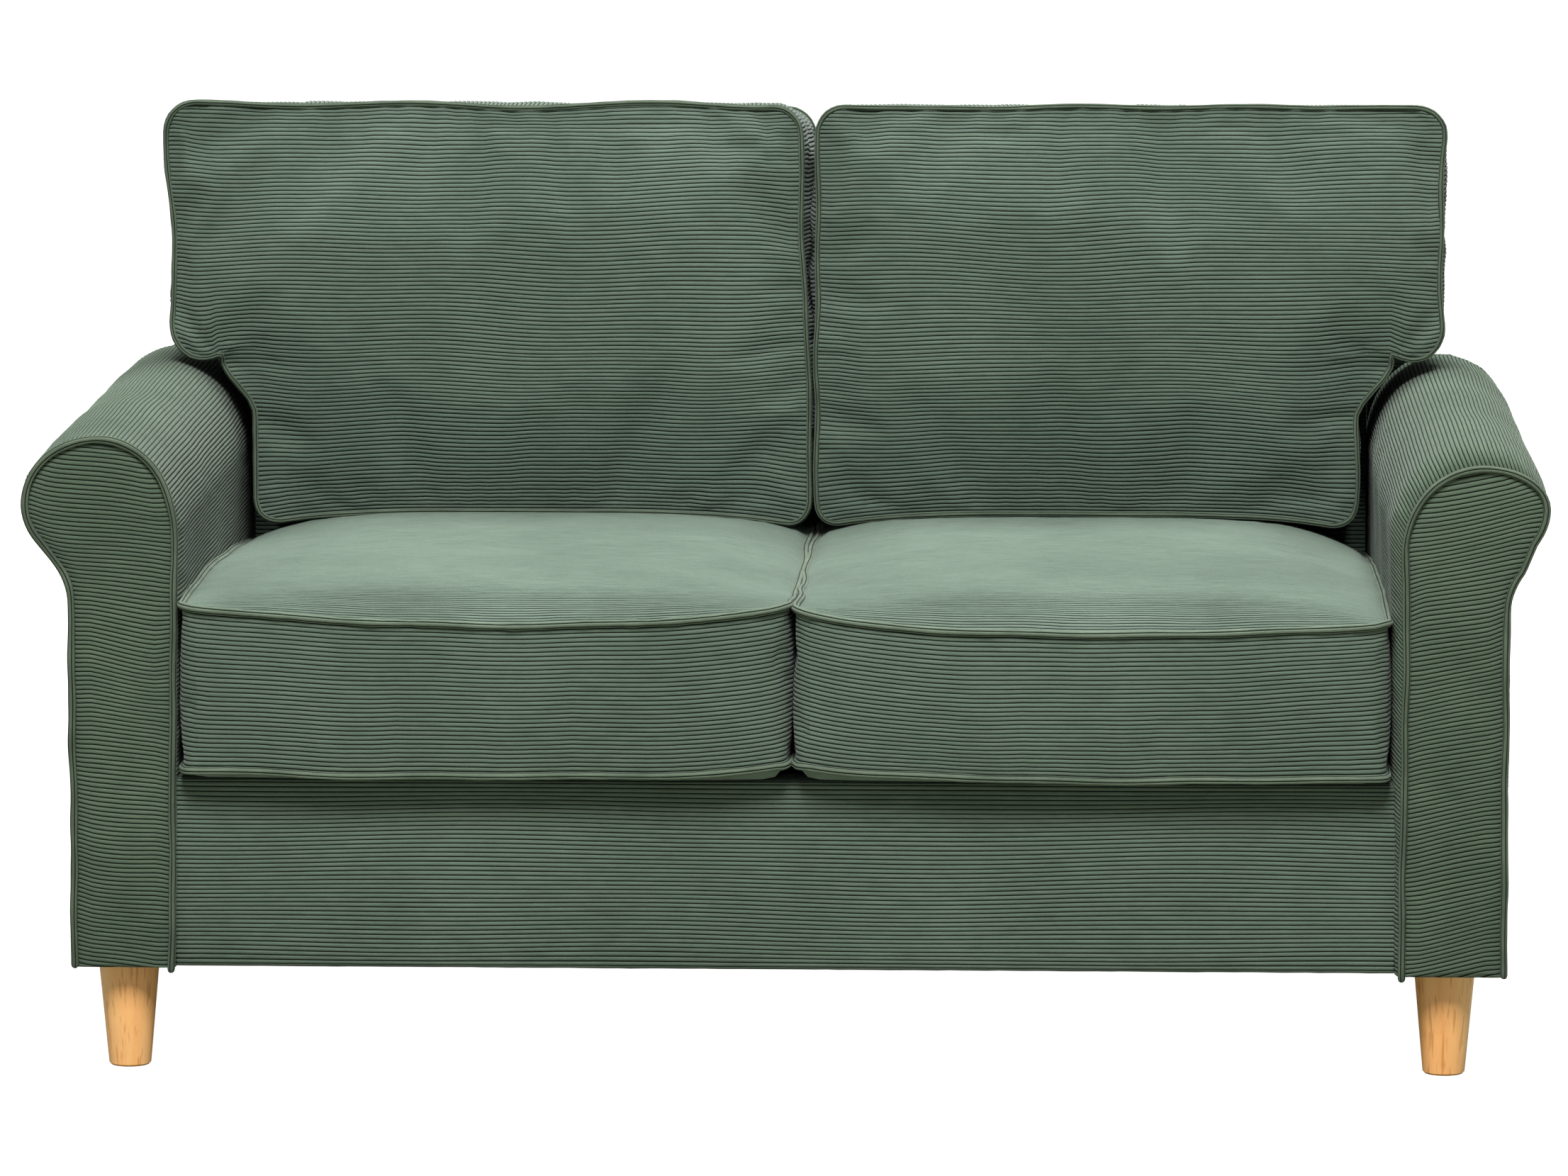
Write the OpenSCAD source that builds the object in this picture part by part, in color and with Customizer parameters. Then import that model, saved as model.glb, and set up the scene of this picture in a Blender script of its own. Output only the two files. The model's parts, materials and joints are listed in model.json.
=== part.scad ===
// Two-seat rolled-arm sofa on tapered wooden legs.
// Millimetres. +Z up, the front faces -Y, +X to the right seen from the front.
// Origin: on the floor, under the middle of the sofa's box.

/* [Overall size] */
// Width across the arm scrolls
overall_w = 1480; // [1400:10:1600]
// Depth from the front of the seat cushions to the outside back
overall_d = 850; // [820:5:900]
// Height of the back cushions' top edge
overall_h = 895; // [880:5:920]
// Height of the upholstery's lower edge, which is the visible leg height
hem_z = 104; // [90:2:120]
// Sideways place of the joint between the two pairs of cushions
seam_x = 8; // [0:1:10]

/* [Arms] */
// Width of an arm below its scroll
arm_w = 102; // [98:1:106]
// Height of the top of the arm scroll
arm_top = 626; // [610:2:630]
// How far the seat cushions stand in front of the arms
cushion_lead = 25; // [20:1:30]
// Thickness of the arm padding
arm_pad = 10; // [8:1:12]

/* [Seat] */
// Height of the seat cushions' top piping
seat_edge = 450; // [440:2:456]
// Height of the crown of a seat cushion above its top piping
seat_crown = 30; // [20:1:32]
// Thickness of the seat box boards
board = 25; // [20:1:28]
// Number of zigzag springs under one seat cushion
springs_per_seat = 5; // [3:1:6]

/* [Back] */
// Lean of the back from upright, in degrees
lean = 5.8; // [4:0.2:6]
// Height of the back frame
back_top = 820; // [780:5:830]
// Thickness of a back cushion
back_cushion_t = 136; // [120:2:140]
// Outer edge of a back cushion's ear, from the middle of the sofa
ear_x = 663; // [650:1:670]
// Height of the underside of an ear
ear_z = 637; // [634:1:645]

/* [Legs] */
// Radius of a leg at its top
leg_r_top = 30; // [26:1:31]
// Radius of a leg at the floor
leg_r_foot = 20.5; // [16:0.5:22]
// Distance of a leg's axis from the arm's end
leg_set = 46; // [42:1:60]

/* [Hidden] */
$fn = 64;

// Colours
fabric_c = [0.34, 0.42, 0.34];
piping_c = [0.28, 0.31, 0.24];
timber_c = [0.80, 0.66, 0.45];
leg_c = [0.85, 0.62, 0.38];
foam_c = [0.93, 0.91, 0.82];
lining_c = [0.12, 0.12, 0.12];
steel_c = [0.72, 0.72, 0.74];

// Small gaps and thicknesses
gap = 0.3;
cloth = 3;
cord = 6;
eps = 1;
far = 2000;

// Main planes
front_y = -overall_d / 2;
arm_front = front_y + cushion_lead;
back_y = overall_d / 2;
timber_z = hem_z + 4;
rail_top = 280;
deck_z = 287;
arm_end = back_y - cloth - gap;

// Arm outline: scroll centres and radii
arm_out = overall_w / 2 - 46;
arm_in = arm_out - arm_w;
scroll_x = overall_w / 2 - 77;
scroll_in = 78;
scroll_top_in = 94;
scroll_top_out = 66;
scroll_low_r = 50;
neck_turn = 40;
neck_r = 56;
neck_z = arm_top - 161;

// Seat box
box_x = arm_in - 5;
box_front = arm_front + 7;
box_rear = 302;

// Back frame
back_x = arm_in - 8;
back_start_y = 330;
back_start_z = 292;
back_low_z = 282;
post_w = 44;
back_corner_r = 45;

// Seat cushions
seat_low = deck_z + 7;
seat_rear = 322;
seat_half_gap = 1;
seat_side = arm_in - 9;
pipe_out = 3;

// Back cushions
back_low = 474;
back_side = arm_in - 20;
ear_corner_r = 30;
back_corner = 26;
notch_r = 9;

// Legs and bolts
leg_x = (arm_in + arm_out) / 2;
leg_y = [arm_front + leg_set, back_y - leg_set];
leg_top = hem_z + 2;
bolt_r = 4;
hole_r = 4.2;
arm_bolt_y = [-300, -20, 260];
arm_bolt_z = timber_z + 22;

// Zips
zip_l = 460;
tape_w = 14;
slider_l = 14;

// ---------- helpers ----------
// Points on an arc of an ellipse, from angle a to angle b
function arc(cx, cz, rx, rz, a, b, n) =
    [for (i = [0:n]) let (t = a + (b - a) * i / n) [cx + rx * cos(t), cz + rz * sin(t)]];

// Outline of the right arm seen from the front, pulled in by t, with its foot at height zb
function arm_outline(t, zb) = concat(
    [[arm_in + t, zb], [arm_in + t - 6, neck_z + 30]],
    arc(scroll_x, arm_top - scroll_top_in, scroll_in - t, scroll_top_in - t, 176, 90, 14),
    arc(scroll_x, arm_top - scroll_top_out, 77 - t, scroll_top_out - t, 84, 0, 12),
    arc(scroll_x + 77 - scroll_low_r, arm_top - scroll_top_out, scroll_low_r - t, scroll_low_r - t,
        -5, -neck_turn, 5),
    arc(arm_out + neck_r, neck_z, neck_r + t, neck_r + t, 180 - neck_turn, 180, 7),
    [[arm_out - t, zb]]
);

// Front of the inside back at height z, and a strip of it from depth a to depth b
function inside_y(z) = back_start_y + (z - back_start_z) * tan(lean);
function back_strip(a, b, z0, z1) = [
    [inside_y(z0) + a, z0], [inside_y(z0) + b, z0], [inside_y(z1) + b, z1], [inside_y(z1) + a, z1]
];

// Crown of a seat cushion: 0 at the edges, 1 over most of the middle
function crown(u) = 1 - pow(2 * u - 1, 4);
function crown_line(a, b, z, h, n) =
    [for (i = [0:n]) [b + (a - b) * i / n, z + h * crown(i / n)]];

// Box from one corner to the other
module block(a, b) {
    translate(a) cube([b[0] - a[0], b[1] - a[1], b[2] - a[2]]);
}

// Child drawn in X-Z, made solid from y0 to y1
module along_y(y0, y1) {
    translate([0, y1, 0]) rotate([90, 0, 0]) linear_extrude(y1 - y0) children();
}

// Child drawn in Y-Z, made solid from x0 to x1
module along_x(x0, x1) {
    translate([x0, 0, 0]) rotate([90, 0, 90]) linear_extrude(x1 - x0) children();
}

// Left copy of what is drawn for the right side
module side(s) {
    if (s < 0) mirror([1, 0, 0]) children();
    else children();
}

// Rounded rectangle from x0, z0 to x1, z1
module round_rect(x0, z0, x1, z1, r) {
    for (x = [x0 + r, x1 - r])
        for (z = [z0 + r, z1 - r])
            translate([x, z]) circle(r);
    translate([x0 + r, z0]) square([x1 - x0 - 2 * r, z1 - z0]);
    translate([x0, z0 + r]) square([x1 - x0, z1 - z0 - 2 * r]);
}

// Holes for the bolts that hold the right arm to the seat box
module arm_bolt_holes(x0, x1) {
    for (y = arm_bolt_y)
        translate([x0, y, arm_bolt_z]) rotate([0, 90, 0]) cylinder(r = hole_r, h = x1 - x0);
}

// Cylinders on the two leg axes of the right arm
module at_right_legs(r, z0, z1) {
    for (y = leg_y)
        translate([leg_x, y, z0]) cylinder(r = r, h = z1 - z0);
}

// ---------- seat box ----------
module front_rail() {
    color(timber_c)
        block([-box_x, box_front, timber_z], [box_x, box_front + board, rail_top]);
}

module rear_rail() {
    color(timber_c)
        block([-box_x, box_rear, timber_z], [box_x, box_rear + board, rail_top]);
}

module side_rail(s) {
    color(timber_c) side(s) difference() {
        block([box_x - board, box_front + board + gap, timber_z], [box_x, box_rear - gap, rail_top]);
        arm_bolt_holes(box_x - board - eps, box_x + eps);
    }
}

module centre_brace() {
    color(timber_c)
        block([seam_x - 20, box_front + board + gap, timber_z], [seam_x + 20, box_rear - gap, timber_z + 60]);
}

module corner_blocks() {
    x = box_x - board - gap;
    y0 = box_front + board + gap;
    y1 = box_rear - gap;
    color(timber_c)
        for (s = [-1, 1])
            side(s) translate([0, 0, timber_z + 70]) {
                linear_extrude(80) polygon([[x, y0], [x, y0 + 60], [x - 60, y0]]);
                linear_extrude(80) polygon([[x, y1], [x - 60, y1], [x, y1 - 60]]);
            }
}

// Zigzag wire from front rail to rear rail, as one flat ribbon of wire
spring_x = [for (s = [-1, 1]) for (i = [0:springs_per_seat - 1])
    seam_x * 0.5 + s * (box_x - board) / springs_per_seat * (i + 0.5)];
spring_y0 = box_front + 10;
spring_y1 = box_rear + board - 10;
spring_wire = 3.6;
spring_reach = 22;
spring_waves = 15;

function spring_slope(t) =
    spring_reach * 2 * PI * spring_waves / (spring_y1 - spring_y0) * cos(360 * spring_waves * t);
function spring_point(t, side_w) = let (m = spring_slope(t), k = sqrt(1 + m * m)) [
    spring_reach * sin(360 * spring_waves * t) + side_w / k,
    spring_y0 + (spring_y1 - spring_y0) * t - side_w * m / k
];

module seat_springs() {
    n = spring_waves * 8;
    h = spring_wire / 2;
    color(steel_c)
        for (x = spring_x)
            translate([x, 0, rail_top + 1.4])
                linear_extrude(spring_wire)
                    polygon(concat(
                        [for (i = [0:n]) spring_point(i / n, h)],
                        [for (i = [n:-1:0]) spring_point(i / n, -h)]
                    ));
}

// One clip at each spring end: foot, top plate and outer web
module spring_clip() {
    w = 16;
    d = 14;
    translate([-w / 2, -d / 2, 0]) cube([w, d, 1]);
    translate([-w / 2, -d / 2, spring_wire + 1.6]) cube([w, d, 1]);
    translate([-w / 2, -d / 2, 0]) cube([w, 1, spring_wire + 2.6]);
}

module spring_clips() {
    color(steel_c)
        for (x = spring_x) {
            translate([x, spring_y0 + 2, rail_top]) spring_clip();
            translate([x, spring_y1 - 2, rail_top]) mirror([0, 1, 0]) spring_clip();
        }
}

module deck_cover() {
    color(lining_c)
        block([-back_x, box_front, deck_z], [back_x, box_rear + board, deck_z + 2]);
}

// Corduroy over the front rail, with a lip above and a lip below
module rail_cover() {
    y = box_front - gap;
    top = deck_z + 2 + gap;
    color(fabric_c)
        along_x(-box_x, box_x)
            polygon([
                [y - cloth, hem_z], [y + 45, hem_z], [y + 45, hem_z + 2], [y, hem_z + 2],
                [y, top], [y + 45, top], [y + 45, top + 2], [y - cloth, top + 2]
            ]);
}

module dust_cover() {
    y = box_front + 45;
    color(lining_c)
        block([-back_x, y + gap, hem_z + 1], [back_x, arm_end - gap, hem_z + 2.5]);
}

module arm_bolts() {
    color(steel_c)
        for (s = [-1, 1])
            side(s) for (y = arm_bolt_y)
                translate([box_x - board, y, arm_bolt_z]) rotate([0, 90, 0]) {
                    cylinder(r = bolt_r, h = board + 52);
                    translate([0, 0, -5.5]) cylinder(r = 6.5, h = 5.5);
                }
}

// ---------- back ----------
// What lies inside the back's rounded outline, pulled in by t
module within_back(t) {
    intersection() {
        children();
        along_y(-far, far)
            round_rect(-back_x + t, -far, back_x - t, back_top - t, back_corner_r - t);
    }
}

module back_post(s) {
    a = 12.3;
    color(timber_c) within_back(cloth + gap) side(s)
        along_x(back_x - cloth - gap - post_w, back_x - cloth - gap)
            polygon([
                [inside_y(back_start_z) + a, timber_z], [arm_end - cloth, timber_z],
                [arm_end - cloth, back_top - 8],
                [inside_y(back_top - 8) + a, back_top - 8], [inside_y(back_start_z) + a, back_start_z]
            ]);
}

module back_board(z0, z1) {
    x = back_x - cloth - 2 * gap - post_w;
    color(timber_c)
        block([-x, arm_end - cloth - 22, z0], [x, arm_end - cloth, z1]);
}

module back_top_rail() {
    back_board(back_top - 78, back_top - 8);
}

module back_lower_rail() {
    back_board(back_start_z + 10, back_start_z + 80);
}

module back_webbing() {
    straps = 5;
    strap_w = 50;
    z0 = back_start_z + 36;
    step = (back_top - 60 - strap_w - z0) / (straps - 1);
    x = back_x - cloth - 2 * gap;
    color("tan")
        for (i = [0:straps - 1])
            along_x(-x, x) polygon(back_strip(10.3, 12, z0 + step * i, z0 + step * i + strap_w));
}

module back_padding() {
    x = back_x - cloth - gap;
    color(foam_c) within_back(cloth + gap)
        along_x(-x, x) polygon(back_strip(cloth, 10, back_low_z, back_top - 8));
}

module inside_back_cover() {
    t = cloth - gap;
    z1 = back_top;
    color(fabric_c) within_back(0) difference() {
        along_x(-back_x, back_x)
            polygon([
                [inside_y(back_low_z), back_low_z], [arm_end, back_low_z],
                [arm_end, z1], [inside_y(z1), z1]
            ]);
        within_back(t) along_x(-back_x + t, back_x - t)
            polygon([
                [inside_y(back_low_z - eps) + t, back_low_z - eps], [arm_end + eps, back_low_z - eps],
                [arm_end + eps, z1], [inside_y(z1) + t, z1]
            ]);
    }
}

// One sheet over the back and the rear ends of both arms
module outside_back_cover() {
    color(fabric_c) along_y(back_y - cloth, back_y) {
        intersection() {
            round_rect(-back_x, -far, back_x, back_top, back_corner_r);
            translate([-far / 2, hem_z]) square([far, far]);
        }
        for (s = [-1, 1])
            side(s) polygon(arm_outline(0, hem_z));
        translate([-scroll_x, hem_z]) square([2 * scroll_x, arm_top - scroll_top_in - hem_z]);
    }
}

// ---------- arms ----------
module arm_formers(s) {
    t = cloth + arm_pad + 2 * gap;
    y0 = arm_front + cloth + gap;
    y1 = arm_end - gap;
    color(timber_c) side(s) {
        along_y(y0, y0 + 18) polygon(arm_outline(t, timber_z));
        along_y(y1 - 18, y1) polygon(arm_outline(t, timber_z));
    }
}

arm_hollow_y0 = arm_front + cloth + 18 + 2 * gap;
arm_hollow_y1 = arm_end - 18 - 2 * gap;
arm_board_in = arm_in + cloth + arm_pad + 1;
arm_board_out = arm_out - cloth - arm_pad - 1;

module arm_rails(s) {
    x0 = arm_board_in + 4;
    x1 = arm_board_out - 4;
    color(timber_c) side(s) {
        difference() {
            block([x0, arm_hollow_y0, timber_z], [x1, arm_hollow_y1, timber_z + 45]);
            arm_bolt_holes(x0 - eps, x1 + eps);
            at_right_legs(hole_r, timber_z - eps, timber_z + 45 + eps);
        }
        block([x0 + 3, arm_hollow_y0, neck_z + 4], [x1 - 3, arm_hollow_y1, neck_z + 26]);
    }
}

module arm_boards(s) {
    t = 3.5;
    color([0.55, 0.40, 0.26]) side(s) {
        difference() {
            block([arm_board_in, arm_hollow_y0, timber_z],
                [arm_board_in + t, arm_hollow_y1, neck_z + 26]);
            arm_bolt_holes(arm_board_in - eps, arm_board_in + t + eps);
        }
        block([arm_board_out - t, arm_hollow_y0, timber_z], [arm_board_out, arm_hollow_y1, neck_z - 5]);
    }
}

// Foam sheet all round, and the roll that fills the scroll
module arm_padding(s) {
    y0 = arm_front + cloth + gap;
    y1 = arm_end - gap;
    color(foam_c) side(s) {
        difference() {
            along_y(y0, y1) difference() {
                polygon(arm_outline(cloth + gap, hem_z + cloth));
                polygon(arm_outline(cloth + gap + arm_pad, hem_z));
            }
            arm_bolt_holes(arm_in - eps, arm_in + cloth + arm_pad + 2);
        }
        along_y(arm_hollow_y0, arm_hollow_y1) intersection() {
            polygon(arm_outline(cloth + arm_pad + 2 * gap, hem_z));
            translate([arm_in, neck_z + 27]) square([arm_w * 2, 300]);
        }
    }
}

module arm_cover(s) {
    y0 = arm_front + cloth;
    color(fabric_c) side(s) difference() {
        along_y(y0, arm_end) difference() {
            polygon(arm_outline(0, hem_z));
            polygon(arm_outline(cloth, hem_z + 2));
        }
        arm_bolt_holes(arm_in - eps, arm_in + cloth + 2);
        at_right_legs(leg_r_top + 1, hem_z - eps, hem_z + 2 + eps);
    }
}

module arm_panel(s) {
    color(fabric_c) side(s)
        along_y(arm_front, arm_front + cloth - gap) polygon(arm_outline(cord, hem_z + cord));
}

module arm_piping(s) {
    color(piping_c) side(s)
        along_y(arm_front - 2, arm_front + cloth - gap) difference() {
            polygon(arm_outline(0, hem_z));
            polygon(arm_outline(cord, hem_z + cord));
        }
}

// ---------- legs ----------
module leg(s, y) {
    bevel = 2;
    color(leg_c) side(s) translate([leg_x, y, 0]) difference() {
        rotate_extrude()
            polygon([
                [0, 0], [leg_r_foot - bevel, 0], [leg_r_foot, bevel], [leg_r_top, leg_top], [0, leg_top]
            ]);
        translate([0, 0, leg_top - 40]) cylinder(r = hole_r, h = 40 + eps);
    }
}

module leg_bolts() {
    color(steel_c)
        for (s = [-1, 1])
            side(s) at_right_legs(bolt_r, leg_top - 38, timber_z + 42);
}

module leg_plates() {
    color(steel_c)
        for (s = [-1, 1])
            side(s) difference() {
                for (y = leg_y)
                    block([leg_x - 19, y - 19, leg_top], [leg_x + 19, y + 19, timber_z]);
                at_right_legs(hole_r, leg_top - eps, timber_z + eps);
            }
}

// ---------- seat cushions ----------
// Edges of a cushion: s is -1 for the left one and 1 for the right one
function seat_x0(s) = s < 0 ? -seat_side : seam_x + seat_half_gap;
function seat_x1(s) = s < 0 ? seam_x - seat_half_gap : seat_side;

// Crowned closed form, pulled in by t
module seat_form(s, t) {
    x0 = seat_x0(s) + pipe_out + t;
    x1 = seat_x1(s) - pipe_out - t;
    y0 = front_y + pipe_out + t;
    y1 = seat_rear - pipe_out - t;
    z0 = seat_low + t;
    z1 = seat_edge - t;
    intersection() {
        along_y(y0, y1)
            polygon(concat([[x0, z0], [x1, z0]], crown_line(x0, x1, z1, seat_crown, 16)));
        along_x(x0 - eps, x1 + eps)
            polygon(concat([[y0 - eps, z0], [y1 + eps, z0]],
                crown_line(y0 - eps, y1 + eps, z1, seat_crown, 16)));
    }
}

module seat_cover(s) {
    color(fabric_c) difference() {
        seat_form(s, 0);
        seat_form(s, cloth - gap);
    }
}

module seat_core(s) {
    color(foam_c) seat_form(s, cloth);
}

// Piping round the bottom and the top of the boxing
module seat_piping(s) {
    x0 = seat_x0(s);
    x1 = seat_x1(s);
    r = 8;
    color(piping_c)
        for (z = [seat_low, seat_edge - pipe_out])
            translate([0, 0, z]) linear_extrude(cord) difference() {
                round_rect(x0, front_y, x1, seat_rear, r);
                translate([x0 + pipe_out, front_y + pipe_out])
                    square([x1 - x0 - 2 * pipe_out, seat_rear - front_y - 2 * pipe_out]);
            }
}

function zip_x(s) = (seat_x0(s) + seat_x1(s)) / 2;
seat_zip_y = seat_rear - pipe_out;
seat_zip_z = (seat_low + seat_edge) / 2;

module seat_zip(s) {
    color(lining_c) translate([zip_x(s) - zip_l / 2, seat_zip_y, seat_zip_z]) {
        translate([0, 0, -tape_w / 2]) cube([zip_l, 1, tape_w]);
        translate([0, 1, -2.5]) cube([zip_l, 0.8, 5]);
    }
}

module seat_zip_slider(s) {
    color(steel_c) translate([zip_x(s) - zip_l / 2 + 2, seat_zip_y + 2.1, seat_zip_z]) {
        translate([0, 0, -5]) cube([slider_l, 2.6, 10]);
        translate([3, 2.6, -26]) cube([8, 1.4, 28]);
    }
}

// ---------- back cushions ----------
// T-shaped front outline, pulled in by t
module t_outline(s, t) {
    x_in = s < 0 ? seam_x - seat_half_gap : -seam_x - seat_half_gap;
    mirror([s < 0 ? 0 : 1, 0]) {
        round_rect(-back_side + t, back_low + t, x_in - t, overall_h - 60, back_corner - t);
        round_rect(-ear_x + t, ear_z + t, x_in - t, overall_h - t, ear_corner_r - t);
        difference() {
            translate([-back_side + t - notch_r, ear_z + t - notch_r]) square(notch_r + eps);
            translate([-back_side + t - notch_r, ear_z + t - notch_r]) circle(notch_r);
        }
    }
}

// Slab that leans with the back, from depth a to depth b behind the cushion's front face
module leaning_slab(a, b, t) {
    k = back_cushion_t + 1.5;
    z0 = back_low + t;
    z1 = overall_h - t;
    along_x(-far / 2, far / 2)
        polygon([
            [inside_y(z0) - k + a, z0], [inside_y(z0) - k + b, z0],
            [inside_y(z1) - k + b, z1], [inside_y(z1) - k + a, z1]
        ]);
}

module back_form(s, t) {
    intersection() {
        leaning_slab(t, back_cushion_t - t, t);
        along_y(0, back_y + 100) t_outline(s, pipe_out + t);
    }
}

module back_cover(s) {
    color(fabric_c) difference() {
        back_form(s, 0);
        back_form(s, cloth - gap);
    }
}

module back_core(s) {
    color(foam_c) back_form(s, cloth);
}

// Piping round the front and the rear of the boxing
module back_piping(s) {
    color(piping_c)
        for (a = [0, back_cushion_t - cord])
            intersection() {
                leaning_slab(a, a + cord, 0);
                along_y(0, back_y + 100) difference() {
                    t_outline(s, 0);
                    t_outline(s, pipe_out);
                }
            }
}

function back_zip_x(s) = s * (back_side + seam_x) / 2;
back_zip_y = inside_y(back_low) - 17;
back_zip_z = back_low + pipe_out;

module back_zip(s) {
    color(lining_c) translate([back_zip_x(s) - zip_l / 2, back_zip_y, back_zip_z]) {
        translate([0, -tape_w / 2, -1]) cube([zip_l, tape_w, 1]);
        translate([0, -2.5, -1.8]) cube([zip_l, 5, 0.8]);
    }
}

module back_zip_slider(s) {
    color(steel_c) translate([back_zip_x(s) - zip_l / 2 + 2, back_zip_y, back_zip_z - 4.7]) {
        translate([0, -5, 0]) cube([slider_l, 10, 2.6]);
        translate([slider_l, -4, 0.6]) cube([22, 8, 1.4]);
    }
}

front_rail();
rear_rail();
side_rail(-1);  // side_rail_left
side_rail(1);  // side_rail_right
centre_brace();
corner_blocks();
seat_springs();
spring_clips();
deck_cover();
rail_cover();
dust_cover();
arm_bolts();
back_post(-1);  // back_post_left
back_post(1);  // back_post_right
back_top_rail();
back_lower_rail();
back_webbing();
back_padding();
inside_back_cover();
outside_back_cover();
arm_formers(-1);  // arm_formers_left
arm_rails(-1);  // arm_rails_left
arm_boards(-1);  // arm_boards_left
arm_padding(-1);  // arm_padding_left
arm_cover(-1);  // arm_cover_left
arm_panel(-1);  // arm_panel_left
arm_piping(-1);  // arm_piping_left
arm_formers(1);  // arm_formers_right
arm_rails(1);  // arm_rails_right
arm_boards(1);  // arm_boards_right
arm_padding(1);  // arm_padding_right
arm_cover(1);  // arm_cover_right
arm_panel(1);  // arm_panel_right
arm_piping(1);  // arm_piping_right
leg(-1, leg_y[0]);  // leg_front_left
leg(1, leg_y[0]);  // leg_front_right
leg(-1, leg_y[1]);  // leg_rear_left
leg(1, leg_y[1]);  // leg_rear_right
leg_bolts();
leg_plates();
seat_cover(-1);  // seat_cover_left
seat_core(-1);  // seat_core_left
seat_piping(-1);  // seat_piping_left
seat_zip(-1);  // seat_zip_left
seat_zip_slider(-1);  // seat_zip_slider_left
seat_cover(1);  // seat_cover_right
seat_core(1);  // seat_core_right
seat_piping(1);  // seat_piping_right
seat_zip(1);  // seat_zip_right
seat_zip_slider(1);  // seat_zip_slider_right
back_cover(-1);  // back_cover_left
back_core(-1);  // back_core_left
back_piping(-1);  // back_piping_left
back_zip(-1);  // back_zip_left
back_zip_slider(-1);  // back_zip_slider_left
back_cover(1);  // back_cover_right
back_core(1);  // back_core_right
back_piping(1);  // back_piping_right
back_zip(1);  // back_zip_right
back_zip_slider(1);  // back_zip_slider_right
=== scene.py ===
import json
import math

import bpy
import numpy as np
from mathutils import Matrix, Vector

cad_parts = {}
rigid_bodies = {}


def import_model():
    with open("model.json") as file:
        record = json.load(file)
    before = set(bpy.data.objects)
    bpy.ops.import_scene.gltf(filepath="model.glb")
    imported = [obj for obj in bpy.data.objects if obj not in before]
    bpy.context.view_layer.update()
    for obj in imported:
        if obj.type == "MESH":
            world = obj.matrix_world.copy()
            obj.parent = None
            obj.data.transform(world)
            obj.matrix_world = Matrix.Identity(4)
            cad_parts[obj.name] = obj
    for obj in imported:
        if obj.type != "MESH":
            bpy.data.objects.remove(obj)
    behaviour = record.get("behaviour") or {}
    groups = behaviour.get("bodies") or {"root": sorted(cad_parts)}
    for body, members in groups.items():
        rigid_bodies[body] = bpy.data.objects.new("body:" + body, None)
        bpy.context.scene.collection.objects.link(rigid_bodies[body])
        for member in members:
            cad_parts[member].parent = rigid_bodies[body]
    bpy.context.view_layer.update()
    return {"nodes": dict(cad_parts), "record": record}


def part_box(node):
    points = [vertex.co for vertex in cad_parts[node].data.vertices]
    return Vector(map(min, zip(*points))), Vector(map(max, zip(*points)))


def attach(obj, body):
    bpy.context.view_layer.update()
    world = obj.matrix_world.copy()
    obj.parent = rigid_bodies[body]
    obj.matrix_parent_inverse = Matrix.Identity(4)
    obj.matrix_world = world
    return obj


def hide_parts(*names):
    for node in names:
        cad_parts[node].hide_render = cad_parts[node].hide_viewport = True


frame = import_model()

# The looks of a two-seat rolled-arm sofa in ribbed corduroy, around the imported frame.
# Metres, +Z up, the front faces -Y. "Left" is -X, as seen from the front.

NODES = frame["nodes"]

# ---------------------------------------------------------------- cloth values
PITCH = 0.0044          # one wale and its groove
GROOVE = 0.0014         # depth of a groove
# Place within the pitch and height of each line of points, from one groove to the next
WALE = ((0.0, -1.0), (0.13, -0.22), (0.36, 0.0), (0.64, 0.0), (0.87, -0.22))
PIPE_R = 0.0036         # radius of the piping cord
PIPE_WALES = 5          # wales round the cord
PIPE_GROOVE = 0.30      # depth of the cord's grooves, as a share of its radius
PIPE_STEP = 0.006       # spacing of the final points along the cord
CELL = 0.012            # spacing of the simulated cloth's points
ALONG = 0.012           # spacing of the final points along a wale
SIGN = {"left": -1, "right": 1}


def corners(*names):
    """Lowest and highest corner of the box round several CAD nodes, as arrays."""
    boxes = [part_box(n) for n in names]
    return (np.min([np.array(b[0]) for b in boxes], 0), np.max([np.array(b[1]) for b in boxes], 0))


# ---------------------------------------------------------------- sizes from the frame
arm_low, arm_high = corners("arm_cover_right")
back_low, back_high = corners("back_piping_left")
ARM_TOP = arm_high[2]
ARM_OUT = arm_high[0]
HEM = arm_low[2]
ARM_FRONT = corners("arm_panel_right")[0][1]
ARM_REAR = corners("outside_back_cover")[1][1]
BODY_OUT = ARM_OUT - 0.046      # outer face of an arm, below its roll
ARM_IN = BODY_OUT - 0.102       # inner face of an arm
NECK_Z = ARM_TOP - 0.161        # where the roll meets the outer face
BACK_THICK = 0.136              # a back cushion, from its front piping to its rear one
BACK_LEAN = 5.8                 # degrees that the back leans by
BACK_FRONT = back_low[1]
BACK_FOOT = back_low[2] - 0.004 # underside of the back cushions' lower piping


# ---------------------------------------------------------------- numbers and curves
def ripple(seed, count, shortest, longest):
    """A smooth seeded wave of two coordinates, about -1 to 1."""
    rng = np.random.default_rng(seed)
    k = 2 * np.pi / rng.uniform(shortest, longest, count)
    a = rng.uniform(0, 2 * np.pi, count)
    p = rng.uniform(0, 2 * np.pi, count)

    def wave(u, v=0.0):
        total = 0.0
        for i in range(count):
            total = total + np.cos(k[i] * (u * math.cos(a[i]) + v * math.sin(a[i])) + p[i])
        return total / math.sqrt(count)

    return wave


def smooth(x, low, high):
    """0 below low, 1 above high, and a smooth step between."""
    t = np.clip((x - low) / (high - low), 0, 1)
    return t * t * (3 - 2 * t)


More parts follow.
